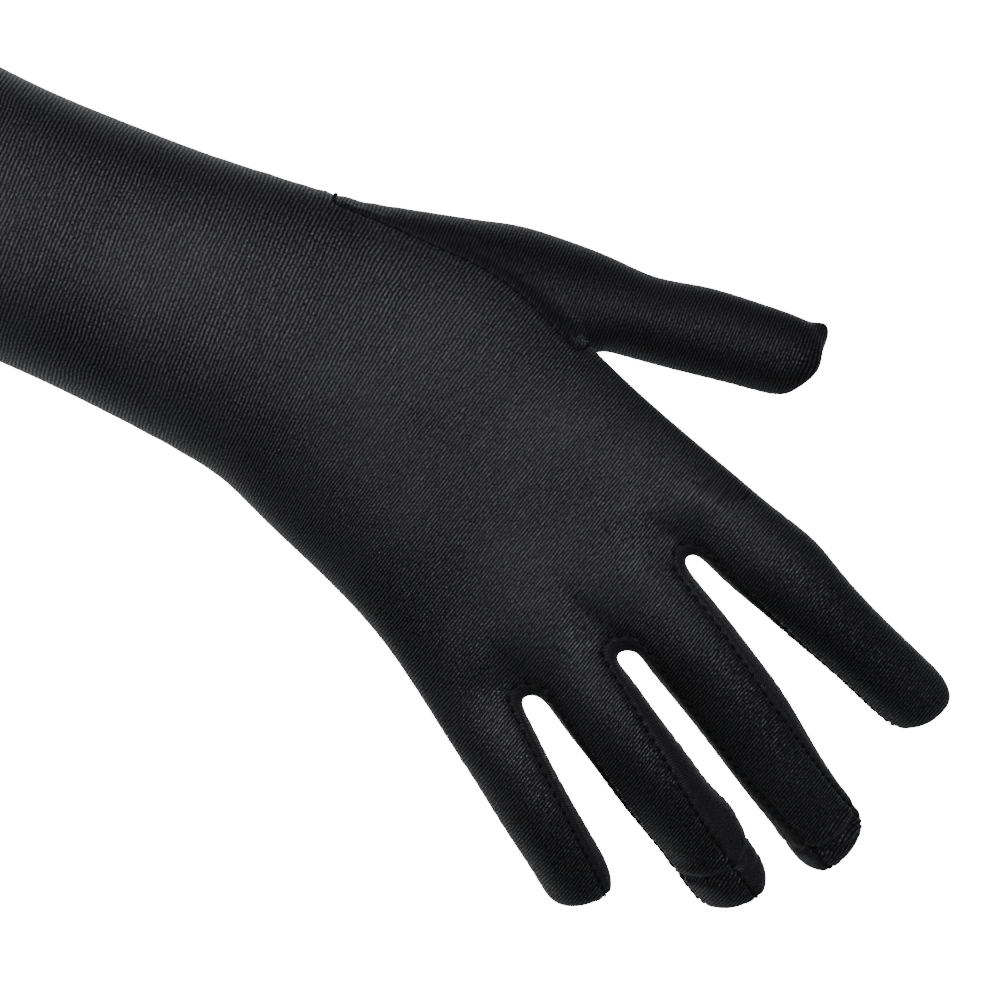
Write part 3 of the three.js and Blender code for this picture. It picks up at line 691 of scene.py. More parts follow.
def chains(edges):
    """Edges joined end to end into lists of point numbers. A ring ends on its first point."""
    links = {}
    for a, b in edges:
        links.setdefault(int(a), []).append(int(b))
        links.setdefault(int(b), []).append(int(a))
    used = set()

    def walk(start, step):
        path = [start]
        here, there = start, step
        while True:
            used.add((min(here, there), max(here, there)))
            path.append(there)
            onward = [n for n in links[there] if (min(there, n), max(there, n)) not in used]
            if len(links[there]) != 2 or not onward:
                return path
            here, there = there, onward[0]

    found = []
    ends = [n for n in links if len(links[n]) != 2]
    for start in [*ends, *links]:
        for step in links[start]:
            if (min(start, step), max(start, step)) not in used:
                found.append(walk(start, step))
    return found


def ripples(points, length, seed, count=7):
    """Soft random waves of about that length, from -1 to 1."""
    chance = np.random.default_rng(seed)
    total = np.zeros(len(points))
    for _ in range(count):
        way = chance.normal(size=3)
        way *= 2 * math.pi / (length * chance.uniform(0.7, 1.5) * np.linalg.norm(way))
        total += np.sin(points @ way + chance.uniform(0, 2 * math.pi))
    return total / math.sqrt(count)


def pull_seams(cloth, groove, pucker):
    """Sinks the cloth along every seam and puckers it a little between the stitches."""
    samples, runs, depths = [], [], []
    for name, chain in cloth.seams:
        line = cloth.points[chain]
        steps = np.linalg.norm(np.diff(line, axis=0), axis=1)
        run = np.concatenate([[0], np.cumsum(steps)])
        at = np.arange(0, run[-1], SEAM_SAMPLING)
        samples.append(np.column_stack([np.interp(at, run, line[:, i]) for i in range(3)]))
        runs.append(at)
        depth = 0.4 if name in ("hem", "upper", "forearm") else 1.0
        depths.append(np.full(len(at), depth))
    samples, runs, depths = np.vstack(samples), np.concatenate(runs), np.concatenate(depths)
    tree = KDTree(len(samples))
    for i, sample in enumerate(samples):
        tree.insert(sample, i)
    tree.balance()
    found = [tree.find(point)[1:] for point in cloth.points]
    nearest = np.array([f[0] for f in found])
    reach = np.array([f[1] for f in found])
    ridge = RIDGE_SHARE * np.exp(-(((reach - RIDGE_PLACE) / RIDGE_REACH) ** 2))
    sink = groove * (np.exp(-((reach / GROOVE_REACH) ** 2)) - ridge)
    turns = 2 * math.pi * runs[nearest]
    wave = np.sin(turns / 2.3) + 0.6 * np.sin(turns / 5.1)
    dense = depths[nearest] == 1
    sink += dense * pucker * wave * np.exp(-(((reach - PUCKER_PLACE) / PUCKER_REACH) ** 2))
    cloth.move(-sink * depths[nearest])
    cloth.seam_reach = reach


def points_of(cloth, part_prefix):
    """Which points lie in the parts whose names start that way."""
    inside = np.zeros(len(cloth.points), bool)
    own = [i for i, (_, part) in enumerate(cloth.names) if part.startswith(part_prefix)]
    inside[cloth.quads[np.isin(cloth.label, own)].ravel()] = True
    return inside


def fold_tip(cloth, finger, place, depth, slant):
    """A loose fold over the back of a finger near its tip, where the cloth is too long."""
    inside = points_of(cloth, f"{finger.name}_{len(finger.parts) + 1}")
    middle, along, outward = finger.middle(place)
    offset = cloth.points - middle
    lateral = offset @ finger.across
    upper = np.clip(cloth.normals @ outward * 1.6, 0, 1)
    gone = offset @ along + slant * lateral
    crease = np.exp(-((gone / 1.3) ** 2)) - 0.6 * np.exp(-(((gone + 3) / 1.8) ** 2))
    second = 0.4 * np.exp(-(((gone - 2.2 - 0.35 * lateral) / 0.8) ** 2)) * (lateral > -4)
    swell = 0.2 / (1 + np.exp(-(gone - 1) / 0.6))
    cloth.move(inside * (swell - (crease + second) * np.maximum(upper, 0.4)) * depth)


def pull_out(cloth, finger, angle, reach, amount, way):
    """Draws the cloth at one spot of a tip out by amount, way degrees from straight ahead."""
    spot = finger.point(angle, finger.length - 1)
    away = np.linalg.norm(cloth.points - spot, axis=1)
    weight = points_of(cloth, finger.name + "_") * np.exp(-((away / reach) ** 2)) * amount
    turn = math.radians(way)
    heading = math.cos(turn) * finger.ahead + math.sin(turn) * finger.across
    cloth.points += weight[:, None] * heading
    cloth.move(np.zeros(len(cloth.points)))


def settle_cloth(cloth):
    """The small unevenness of cloth over an arm: gathers at the hem, drag lines at the elbow."""
    p, n = cloth.points, cloth.normals
    shift = 0.12 * ripples(p, 26, 3)
    angle = np.arctan2(p[:, 2], p[:, 1])
    near_hem = np.exp(-((p[:, 0] / 15) ** 2))
    gathers = np.sin(angle * 34 + 1.5 * np.sin(angle * 5)) * (0.6 + 0.4 * np.sin(angle * 11 + 1))
    shift += 0.32 * near_hem * gathers
    at_elbow = np.exp(-(((p[:, 0] - ELBOW_X) / 24) ** 2)) * np.clip(p[:, 2] / 30 + 0.35, 0, 1)
    bow = p[:, 0] + 0.006 * p[:, 1] ** 2 + 5 * ripples(p, 55, 9)
    patchy = np.clip(0.35 + 0.8 * ripples(p, 42, 8), 0, 1.3)
    shift += 0.8 * at_elbow * np.sin(bow * 2 * math.pi / 15) * patchy
    at_wrist = np.exp(-(((p[:, 0] - WRIST_X + 14) / 13) ** 2))
    sides = np.clip(np.abs(p[:, 1]) / 26 - 0.3, 0, 1)
    shift += 0.07 * at_wrist * sides * np.sin((p[:, 0] + 0.25 * p[:, 1]) * 2 * math.pi / 8.5)
    for finger in FINGERS:
        inside = points_of(cloth, finger.name + "_")
        for bend, amount in zip(finger.bends, (0.16, 0.24, 0.18)):
            middle, along, outward = finger.middle(bend)
            gone = (p - middle) @ along
            under = np.clip(-(n @ outward) + 0.25, 0, 1)
            waves = np.exp(-((gone / 5) ** 2)) * np.sin(gone * 2 * math.pi / 3.4)
            shift += amount * inside * under * waves
    (_, thumb_edge), *_ = HAND[0]
    start = np.array([WRIST_X + 4, thumb_edge, 4])
    gathered = np.exp(-((np.linalg.norm(p - start, axis=1) / 12) ** 2))
    shift += 0.1 * gathered * np.sin((p[:, 0] - 0.5 * p[:, 1]) * 2 * math.pi / 4.2)
    for finger in (*FINGERS, THUMB):
        if finger.name in FULLNESS:
            place, reach, amount = FULLNESS[finger.name]
            middle, along, _ = finger.middle(place)
            near = np.exp(-(((p - middle) @ along / reach) ** 2))
            near = near * points_of(cloth, finger.name + "_")
            shift += amount * near * np.clip(n @ finger.across, 0, 1)
    cloth.move(shift)


# ---- Pieces ----
def owners(part):
    """The bodies a part of the cloth follows, and the stretch over which it passes between them."""
    if part == "cuff" or part == "hem":
        return "upper_sleeve", None
    if part == "hand":
        return "hand", None
    finger, _, number = part.partition("_")
    if part in ("upper", "forearm"):
        joint, place = {"upper": ("elbow_flex", ELBOW_X),
                        "forearm": ("wrist_flex", WRIST_X - WRIST_SETBACK)}[part]
        middle, along = np.array([place, 0, 0]), np.array([1, 0, 0])
    elif finger == "thumb":
        joint = ("thumb_knuckle", "thumb_tip_bend")[int(number) - 1]
        middle, along, _ = THUMB.middle(THUMB.bends[int(number) - 1])
    else:
        kind = ("knuckle", "middle_bend", "tip_bend")[int(number) - 1]
        own = next(f for f in FINGERS if f.name == finger)
        joint = f"{finger}_{kind}"
        middle, along, _ = own.middle(own.bends[int(number) - 1])
    stretch = BEND_LENGTHS.get(joint) or BEND_LENGTHS[joint.split("_", 1)[1]]
    bend = JOINTS[joint]
    ends = [tuple((middle + along * side * stretch / 2) * MM) for side in (-1, 1)]
    return bend["parent"], (bend["child"], *ends)


def follow(piece, part):
    """Ties a finished piece to the body its cloth follows. A piece over a bend is tied to no body;
    its place is only baked in.
    """
    body, bend = owners(part)
    if bend is None:
        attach(piece, body)
    else:
        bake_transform(piece)


def rim_facing(points, rim):
    """The way each face of a piece's edge looks."""
    corners = points[rim]
    facing = np.cross(corners[:, 2] - corners[:, 0], corners[:, 3] - corners[:, 1])
    return facing / np.maximum(np.linalg.norm(facing, axis=1), 1e-9)[:, None]


def cut_piece(cloth, name, chosen, thickness, materials):
    """The chosen faces of the cloth as a closed piece, right side out, with its own thickness."""
    quads, uv = cloth.quads[chosen], cloth.uv[chosen]
    used, flat = np.unique(quads, return_inverse=True)
    quads = flat.reshape(quads.shape)
    count = len(used)
    outer = cloth.points[used]
    inner = outer - cloth.normals[used] * thickness

    a = quads.ravel()
    b = np.roll(quads, -1, axis=1).ravel()
    uv_a = uv.reshape(-1, 2)
    uv_b = np.roll(uv, -1, axis=1).reshape(-1, 2)
    keys = a.astype(np.int64) * count + b
    free = ~np.isin(keys, b.astype(np.int64) * count + a)
    a, b, uv_a, uv_b = a[free], b[free], uv_a[free], uv_b[free]
    rim = np.column_stack([b, a, a + count, b + count])
    rim_uv = np.stack([uv_b, uv_a, uv_a, uv_b], axis=1)

    all_faces = np.vstack([quads, quads[:, ::-1] + count, rim])
    all_uv = np.vstack([uv, uv[:, ::-1], rim_uv])
    mesh = bpy.data.meshes.new(name)
    mesh.vertices.add(count * 2)
    mesh.vertices.foreach_set("co", (np.vstack([outer, inner]) * MM).ravel())
    mesh.loops.add(all_faces.size)
    mesh.loops.foreach_set("vertex_index", all_faces.ravel().astype(np.int32))
    mesh.polygons.add(len(all_faces))
    mesh.polygons.foreach_set("loop_start", np.arange(0, all_faces.size, 4, dtype=np.int32))
    for material in materials:
        mesh.materials.append(material)
    slots = np.concatenate([np.zeros(len(quads)), np.ones(len(quads)), np.zeros(len(rim))])
    mesh.polygons.foreach_set("material_index", slots.astype(np.int32))
    mesh.update(calc_edges=True)
    layer = mesh.uv_layers.new(name="weave")
    layer.data.foreach_set("uv", all_uv.ravel().astype(np.float32))
    reach = mesh.attributes.new("seam_reach", "FLOAT", "POINT")
    reach.data.foreach_set("value", np.tile(cloth.seam_reach[used], 2).astype(np.float32))
    facing = cloth.normals[used]
    walls = np.repeat(rim_facing(np.vstack([outer, inner]), rim), 4, axis=0)
    mesh.normals_split_custom_set(
        np.vstack([facing[quads.ravel()], -facing[quads[:, ::-1].ravel()], walls]))
    piece = bpy.data.objects.new(name, mesh)
    bpy.context.scene.collection.objects.link(piece)
    return piece


# ---- Node trees ----
class Tree:
    """Adds nodes to a tree and links them. A value given for an input is a number or a socket."""

    def __init__(self, tree):
        self.tree = tree

    def add(self, kind, inputs=None, **settings):
        node = self.tree.nodes.new(kind)
        for name, value in settings.items():
            setattr(node, name, value)
        for name, value in (inputs or {}).items():
            self.put(node.inputs[name], value)
        return node

    def put(self, socket, value):
        if isinstance(value, bpy.types.NodeSocket):
            self.tree.links.new(value, socket)
        else:
            socket.default_value = value

    def math(self, operation, *values):
        node = self.add("ShaderNodeMath", operation=operation)
        for socket, value in zip(node.inputs, values):
            self.put(socket, value)
        return node.outputs[0]

    def wave(self, value, length, phase=0.0):
        """A sine along value, from -1 to 1, of that wavelength."""
        turned = self.math("MULTIPLY_ADD", value, 2 * math.pi / length, phase)
        return self.math("SINE", turned)

    def mix_color(self, factor, first, second):
        node = self.add("ShaderNodeMix", data_type="RGBA", clamp_factor=True)
        sockets = {socket.identifier: socket for socket in node.inputs}
        self.put(sockets["Factor_Float"], factor)
        self.put(sockets["A_Color"], first)
        self.put(sockets["B_Color"], second)
        return next(s for s in node.outputs if s.identifier == "Result_Color")


def new_material(name):
    material = bpy.data.materials.new(name)
    material.use_nodes = True
    material.node_tree.nodes.clear()
    return material, Tree(material.node_tree)


def show(tree, shader):
    """Makes a shader the surface of its material."""
    output = tree.add("ShaderNodeOutputMaterial")
    tree.put(output.inputs["Surface"], shader.outputs[0])


def satin_material(name, dark, light, roughness, rib, depth, lean, sheen, painted_shade_start=None):
    """Fine ribbed satin: ribs that lean by lean across the cloth, broken by an uneven grain.

    Past a given start along the cloth its colour is darkened: painted shade on the fingers, which
    droop away from the light."""
    material, tree = new_material(name)
    uv = tree.add("ShaderNodeUVMap", uv_map="weave").outputs[0]
    split = tree.add("ShaderNodeSeparateXYZ", {0: uv})
    across, along = split.outputs["X"], split.outputs["Y"]
    drift = tree.add("ShaderNodeTexNoise", {"Vector": uv, "Scale": 0.12, "Detail": 1.0})
    wander = tree.math("MULTIPLY_ADD", drift.outputs["Fac"], 1.1, -0.55)
    slanted = tree.math("MULTIPLY_ADD", across, lean, along)
    ribs = tree.wave(tree.math("ADD", slanted, wander), rib)
    body = tree.math("POWER", tree.math("MULTIPLY_ADD", ribs, 0.5, 0.5), 1.2)
    grain = tree.add("ShaderNodeTexNoise", {"Vector": uv, "Scale": 1.9, "Detail": 2.0,
                                            "Roughness": 0.6})
    uneven = tree.math("MAXIMUM", tree.math("MULTIPLY_ADD", grain.outputs["Fac"], 6.0, -2.0), 0.1)
    height = tree.math("MULTIPLY", body, uneven)
    place = tree.add("ShaderNodeTexCoord").outputs["Object"]
    patches = tree.add("ShaderNodeTexNoise", {"Vector": place, "Scale": 38.0, "Detail": 3.0})
    tone = tree.math("ADD", height, tree.math("MULTIPLY_ADD", patches.outputs["Fac"], 0.5, -0.25))
    # Painted shade along the seams: the colour is darkened within 0.35 mm of a seam, where its
    # groove lies.
    near = tree.add("ShaderNodeAttribute", attribute_name="seam_reach").outputs["Fac"]
    seam = tree.math("MAXIMUM", tree.math("SUBTRACT", 1.0, tree.math("DIVIDE", near, 0.35)), 0.0)
    tone = tree.math("SUBTRACT", tone, tree.math("MULTIPLY", seam, 0.3))
    # Painted shade on the fingers: the colour darkens past the given start along the cloth.
    if painted_shade_start is not None:
        painted_finger_shade = tree.math("MULTIPLY_ADD", along, 1 / FINGER_PAINTED_SHADE_LENGTH, -painted_shade_start / FINGER_PAINTED_SHADE_LENGTH)
        painted_finger_shade = tree.math("MINIMUM", tree.math("MAXIMUM", painted_finger_shade, 0.0), 1.0)
        tone = tree.math("MULTIPLY", tone, tree.math("MULTIPLY_ADD", painted_finger_shade, -FINGER_PAINTED_SHADE, 1.0))
    # Painted shade between the ribs: the colour runs from the dark hollow colour to the lighter
    # crown colour, for the shade that falls in the hollows.
    color = tree.mix_color(tone, tuple(dark), tuple(light))
    bump = tree.add("ShaderNodeBump", {"Height": height, "Strength": 0.6, "Distance": depth * MM})
    gloss = tree.math("MULTIPLY_ADD", patches.outputs["Fac"], 0.10, roughness + 0.15)
    gloss = tree.math("SUBTRACT", gloss, tree.math("MULTIPLY", height, 0.27))
    gloss = tree.math("MAXIMUM", tree.math("ADD", gloss, tree.math("MULTIPLY", seam, 0.1)), 0.36)
    shader = tree.add("ShaderNodeBsdfPrincipled", {
        "Base Color": color, "Roughness": gloss, "Normal": bump.outputs[0],
        "Metallic": 0.75, "IOR": 1.4, "Specular IOR Level": 0.3, "Sheen Weight": sheen,
        "Sheen Roughness": 0.4, "Sheen Tint": (0.75, 0.78, 0.85, 1)})
    show(tree, shader)
    return material


def thread_material(name, color, light, pitch):
    """Twisted sewing thread or corded elastic, its twist running on Object coordinates."""
    material, tree = new_material(name)
    place = tree.add("ShaderNodeTexCoord").outputs["Object"]
    twist = tree.add("ShaderNodeTexWave", {
        "Vector": place, "Scale": pitch, "Distortion": 2.5, "Detail": 2.0},
        wave_type="BANDS", bands_direction="DIAGONAL")
    tint = tree.mix_color(twist.outputs["Fac"], color, light)
    bump = tree.add("ShaderNodeBump", {"Height": twist.outputs["Fac"], "Strength": 0.5,
                                       "Distance": 0.05 * MM})
    shader = tree.add("ShaderNodeBsdfPrincipled", {
        "Base Color": tint, "Roughness": 0.75, "Normal": bump.outputs[0],
        "Specular IOR Level": 0.15, "Sheen Weight": 0.0})
    show(tree, shader)
    return material


def stitch_tree():
    """Geometry Nodes: short stitches laid end to end along a line on the cloth."""
    group = bpy.data.node_groups.new("Seam stitches", "GeometryNodeTree")
    face = group.interface
    face.new_socket("Geometry", in_out="INPUT", socket_type="NodeSocketGeometry")
    for name, value in (("Stitch Pitch", 0.0022), ("Stitch Length", 0.0014),
                        ("Thread Thickness", 0.0004), ("Unevenness", 0.12)):
        face.new_socket(name, in_out="INPUT", socket_type="NodeSocketFloat").default_value = value
    face.new_socket("Thread", in_out="INPUT", socket_type="NodeSocketMaterial")
    face.new_socket("Geometry", in_out="OUTPUT", socket_type="NodeSocketGeometry")
    tree = Tree(group)
    given = tree.add("NodeGroupInput").outputs
    curve = tree.add("GeometryNodeMeshToCurve", {"Mesh": given["Geometry"]}).outputs[0]
    dots = tree.add("GeometryNodeCurveToPoints", {"Curve": curve, "Length": given["Stitch Pitch"]},
                    mode="LENGTH")
    up = tree.add("GeometryNodeInputNamedAttribute", {"Name": "up"}, data_type="FLOAT_VECTOR")
    lengthwise = tree.add("FunctionNodeAlignRotationToVector", {"Vector": dots.outputs["Tangent"]},
                          axis="X")
    upright = tree.add("FunctionNodeAlignRotationToVector", {
        "Rotation": lengthwise.outputs[0], "Vector": up.outputs[0]}, axis="Z", pivot_axis="X")
    ball = tree.add("GeometryNodeMeshUVSphere", {"Segments": 8, "Rings": 5, "Radius": 0.5})
    chance = tree.add("FunctionNodeRandomValue", {"Seed": 5}, data_type="FLOAT")
    tree.put(chance.inputs[2], 0.0)
    tree.put(chance.inputs[3], given["Unevenness"])
    shorter = tree.math("SUBTRACT", 1.0, chance.outputs[1])
    size = tree.add("ShaderNodeCombineXYZ", {
        "X": tree.math("MULTIPLY", given["Stitch Length"], shorter),
        "Y": given["Thread Thickness"], "Z": given["Thread Thickness"]})
    laid = tree.add("GeometryNodeInstanceOnPoints", {
        "Points": dots.outputs["Points"], "Instance": ball.outputs[0],
        "Rotation": upright.outputs[0], "Scale": size.outputs[0]})
    real = tree.add("GeometryNodeRealizeInstances", {"Geometry": laid.outputs[0]})
    finish = tree.add("GeometryNodeSetMaterial", {
        "Geometry": real.outputs[0], "Material": given["Thread"]})
    out = tree.add("NodeGroupOutput")
    tree.put(out.inputs[0], finish.outputs[0])
    return group


def set_input(modifier, name, value):
    socket = next(s for s in modifier.node_group.interface.items_tree
                  if s.name == name and s.in_out == "INPUT")
    modifier[socket.identifier] = value


def grow(source, name, group, inputs):
    """Runs a node group over a mesh and returns the result as a plain piece."""
    modifier = source.modifiers.new("Grow", "NODES")
    modifier.node_group = group
    for key, value in inputs.items():
        set_input(modifier, key, value)
    bpy.context.view_layer.update()
    graph = bpy.context.evaluated_depsgraph_get()
    mesh = bpy.data.meshes.new_from_object(source.evaluated_get(graph))
    mesh.name = name
    piece = bpy.data.objects.new(name, mesh)
    bpy.context.scene.collection.objects.link(piece)
    line = source.data
    bpy.data.objects.remove(source)
    bpy.data.meshes.remove(line)
    return piece


def straight_runs(cloth, chain):
    """The stretches of a seam between its sharp corners. The stitches are laid on these only."""
    chain = np.array(chain)
    line = cloth.points[chain]
    span = CORNER_SPAN
    if len(line) <= 2 * span:
        return [chain]
    way = line[span:] - line[:-span]
    way /= np.maximum(np.linalg.norm(way, axis=1), 1e-9)[:, None]
    sharp = (way[:-span] * way[span:]).sum(axis=1) < CORNER_COSINE
    clear = np.ones(len(chain), bool)
    for corner in line[span:-span][sharp]:
        clear &= np.linalg.norm(line - corner, axis=1) > CORNER_CLEARANCE
    breaks = np.flatnonzero(np.diff(clear.astype(int))) + 1
    return [run for run, keep in zip(np.split(chain, breaks), np.split(clear, breaks))
            if keep[0] and len(run) > CORNER_SPAN]


def seam_line(name, runs):
    """Lines of (points, ups) as one mesh of edges that carries the way up at each point."""
    points = np.vstack([line for line, _ in runs])
    ups = np.vstack([up for _, up in runs])
    edges, first = [], 0
    for line, _ in runs:
        edges += [(first + i, first + i + 1) for i in range(len(line) - 1)]
        first += len(line)
    mesh = bpy.data.meshes.new(name)
    mesh.from_pydata((points * MM).tolist(), edges, [])
    up = mesh.attributes.new("up", "FLOAT_VECTOR", "POINT")
    up.data.foreach_set("vector", ups.ravel().astype(np.float32))
    line = bpy.data.objects.new(name, mesh)
    bpy.context.scene.collection.objects.link(line)
    return line


# ---- What the glove is made to ----
def number(name, description, default, unit="NONE", subtype="NONE"):
    return bpy.props.FloatProperty(name=name, description=description, default=default,
                                   min=0.0, unit=unit, subtype=subtype, precision=5)


def colour(name, description, default):
    return bpy.props.FloatVectorProperty(name=name, description=description, default=default,
                                         size=4, min=0.0, max=1.0, subtype="COLOR")


class OperaGloveSatin(bpy.types.PropertyGroup):
    """The cloth of the glove."""

    thickness: number("Cloth thickness", "How thick the satin is", 0.0005, "LENGTH")
    groove: number("Seam groove", "How far the cloth sinks along a seam", 0.00024, "LENGTH")
    pucker: number("Seam pucker", "How far the cloth rises between stitches", 0.00006, "LENGTH")
    rib: number("Rib spacing", "From one rib of the weave to the next", 0.00078, "LENGTH")
    roughness: number("Satin roughness", "How widely the satin spreads a highlight", 0.47,
                      subtype="FACTOR")
    sheen: number("Satin sheen", "How much light the nap catches at its edges", 0.05,
                  subtype="FACTOR")
    # Hollow colours are darker than crown colours: painted shade between the ribs, on the hand, the
    # thumb and the finger sides.
    hollow: colour("Rib hollows", "Colour between the ribs", (0.0032, 0.0032, 0.0037, 1))
    crown: colour("Rib crowns", "Colour on top of the ribs", (0.0620, 0.0620, 0.0660, 1))
    # Painted shade: the thumb's rib crowns are coloured darker than the hand's, as the thumb turns
    # away from the light.
    thumb_crown_painted_shade: colour("Thumb rib crowns", "Colour on top of the ribs of the thumb",
                        (0.0330, 0.0330, 0.0360, 1))
    side_hollow: colour("Finger side hollows", "Colour between the ribs of the finger sides",
                        (0.0120, 0.0120, 0.0135, 1))
    side_crown: colour("Finger side crowns", "Colour on the ribs of the finger sides",
                       (0.0400, 0.0400, 0.0430, 1))
    lining: colour("Inside", "Colour of the back of the satin", (0.012, 0.012, 0.013, 1))


class OperaGloveStitches(bpy.types.PropertyGroup):
    """The sewing."""

    pitch: number("Stitch pitch", "From one stitch to the next", 0.0024, "LENGTH")
    length: number("Stitch length", "Thread showing between two holes", 0.0017, "LENGTH")
    thickness: number("Thread thickness", "How thick the thread is", 0.0008, "LENGTH")
    unevenness: number("Unevenness", "Share by which stitches come out short", 0.14,
                       subtype="FACTOR")
    thread: colour("Thread", "Colour of the sewing thread", (0.0004, 0.0004, 0.0005, 1))
    thread_light: colour("Thread highlight", "Colour on the twist", (0.0015, 0.0015, 0.0018, 1))


class OperaGloveStage(bpy.types.PropertyGroup):
    """The floor, the lights and the camera."""

    floor: colour("Floor", "Colour of the floor", (0.9, 0.9, 0.9, 1))
    floor_glow: number("Floor brightness", "Light the floor gives to the camera", 18.0)
    overhead: number("Overhead light", "Power of the broad light above", 15.5, "POWER")
    side: number("Side light", "Power of the light on the thumb side", 1.0, "POWER")
    fill: number("Fill lights", "Power of the lights low down beside and under the glove", 2.2,
                 "POWER")
    surround: number("Surrounding light", "Light from all round", 0.15)
    camera_height: number("Camera height", "How high the camera hangs over the glove", 1.6,
                          "LENGTH")
    view_width: number("View width", "How wide a stretch the camera sees", 0.2, "LENGTH")


# ---- The shaped cloth, made once ----
@lru_cache(maxsize=1)
def shaped_cloth(groove, pucker):
    cloth = Cloth(lay_out_pattern(), SMOOTHING_LEVELS)
    lay_ribs(cloth, "trank", RIB_TURN)
    lay_ribs(cloth, "thumb", THUMB_RIB_TURN)
    settle_cloth(cloth)
    pull_seams(cloth, groove, pucker)
    _, ring, middle, _ = FINGERS
    fold_tip(cloth, middle, middle.length - 9, 0.8, -0.15)
    fold_tip(cloth, ring, ring.length - 13.5, 0.8, -0.19)
    pull_out(cloth, THUMB, 90, 2.4, 1.7, 75)
    pull_out(cloth, THUMB, -10, 4.5, 1.4, 0)
    return cloth


def glove_cloth():
    satin = bpy.context.scene.opera_glove_satin
    return shaped_cloth(satin.groove / MM, satin.pucker / MM)


@lru_cache(maxsize=None)
def finish(name):
    """The materials, each made once."""
    satin = bpy.context.scene.opera_glove_satin
    sewing = bpy.context.scene.opera_glove_stitches
    rib = satin.rib / MM
    # The hand's satin, with painted shade on the fingers from 119 mm past the wrist.
    if name == "satin":
        return satin_material("Black ribbed satin", satin.hollow, satin.crown, satin.roughness, rib,
                              0.14, 0.0, satin.sheen, painted_shade_start=WRIST_X + 119)
    # The thumb: the same satin as the hand, darker by painted shade.
    if name == "thumb satin in painted shade":
        return satin_material("Black ribbed satin, thumb", satin.hollow, satin.thumb_crown_painted_shade,
                              satin.roughness * 1.1, rib, 0.12, 0.0, satin.sheen)
    if name == "side satin":
        return satin_material("Black satin, finger sides", satin.side_hollow, satin.side_crown,
                              satin.roughness * 1.1, rib * 0.7, 0.07, 0.9, satin.sheen * 0.6)
    if name == "lining":
        return lining_material("Back of the satin", satin.lining)
    if name == "thread":
        return thread_material("Black thread", sewing.thread, sewing.thread_light, 260)
    return elastic_material("Black elastic", satin.hollow, satin.crown)


def lining_material(name, color):
    """The dull back of the satin, with the threads of the weave showing."""
    material, tree = new_material(name)
    uv = tree.add("ShaderNodeUVMap", uv_map="weave").outputs[0]
    split = tree.add("ShaderNodeSeparateXYZ", {0: uv})
    warp = tree.wave(split.outputs["X"], 0.55)
    weft = tree.wave(split.outputs["Y"], 0.55)
    height = tree.math("MULTIPLY", warp, weft)
    clouds = tree.add("ShaderNodeTexNoise", {"Vector": uv, "Scale": 0.12, "Detail": 3.0})
    dark = tuple(c * 0.5 for c in color[:3]) + (1.0,)
    tone = tree.math("ADD", tree.math("MULTIPLY_ADD", height, 0.3, 0.1), clouds.outputs["Fac"])
    bump = tree.add("ShaderNodeBump", {"Height": height, "Strength": 0.4, "Distance": 0.08 * MM})
    shader = tree.add("ShaderNodeBsdfPrincipled", {
        "Base Color": tree.mix_color(tone, dark, tuple(color)), "Roughness": 0.85,
        "Normal": bump.outputs[0], "Sheen Weight": 0.15, "Sheen Roughness": 0.6})
    show(tree, shader)
    return material


def elastic_material(name, dark, light):
    """Knitted elastic, with cords running round the arm, on Object coordinates."""
    material, tree = new_material(name)
    place = tree.add("ShaderNodeTexCoord").outputs["Object"]
    split = tree.add("ShaderNodeSeparateXYZ", {0: place})
    cords = tree.wave(split.outputs["X"], 0.0011)
    knit = tree.add("ShaderNodeTexNoise", {"Vector": place, "Scale": 900.0, "Detail": 2.0})
    height = tree.math("ADD", cords, knit.outputs["Fac"])
    bump = tree.add("ShaderNodeBump", {"Height": height, "Strength": 0.6, "Distance": 0.1 * MM})
    tone = tree.math("MULTIPLY_ADD", cords, 0.4, 0.5)
    shader = tree.add("ShaderNodeBsdfPrincipled", {
        "Base Color": tree.mix_color(tone, tuple(dark), tuple(light)), "Roughness": 0.75,
        "Normal": bump.outputs[0], "Sheen Weight": 0.2})
    show(tree, shader)
    return material


# ---- Which frame nodes each piece of cloth stands for ----
ARM_NODES = {"cuff": ["cuff_hem"], "upper": ["trank_upper_sleeve"], "forearm": ["trank_forearm"],
             "hand": ["trank_hand", "trank_knuckles"], "thumb_1": ["thumb_base", "thumb_1"],
             "thumb_2": ["thumb_2"]}


def nodes_of(cloth_name, part):
    finger, _, length = part.partition("_")
    if cloth_name.startswith("fourchette_"):
        pair = cloth_name.removeprefix("fourchette_")
        if part == "hand":
            return [f"web_{pair}"]
        other = next(name for name in pair.split("_") if name != finger)
        return [f"{finger}_fourchette_{other}_{length}"]
    if part in ARM_NODES:
        return ARM_NODES[part]
    if finger in ("index", "little"):
        return [f"{finger}_trank_{length}"]
    return [f"{finger}_back_{length}", f"{finger}_palm_{length}"]


def sew_pieces(wanted, outside):
    """Makes the pieces of cloth that wanted(cloth name, part) picks."""
    cloth = glove_cloth()
    thickness = bpy.context.scene.opera_glove_satin.thickness / MM
    made = 0
    for i, (cloth_name, part) in enumerate(cloth.names):
        if not wanted(cloth_name, part):
            continue
        piece = cut_piece(cloth, f"{cloth_name}_{part}", cloth.label == i, thickness,
                          [finish(outside), finish("lining")])
        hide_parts(*nodes_of(cloth_name, part))
        follow(piece, part)
        made += 1
    if not made:
        raise RuntimeError("no cloth was found for this piece")


# ---- Operators ----
class GloveOperator:
    bl_options = {"REGISTER", "UNDO"}


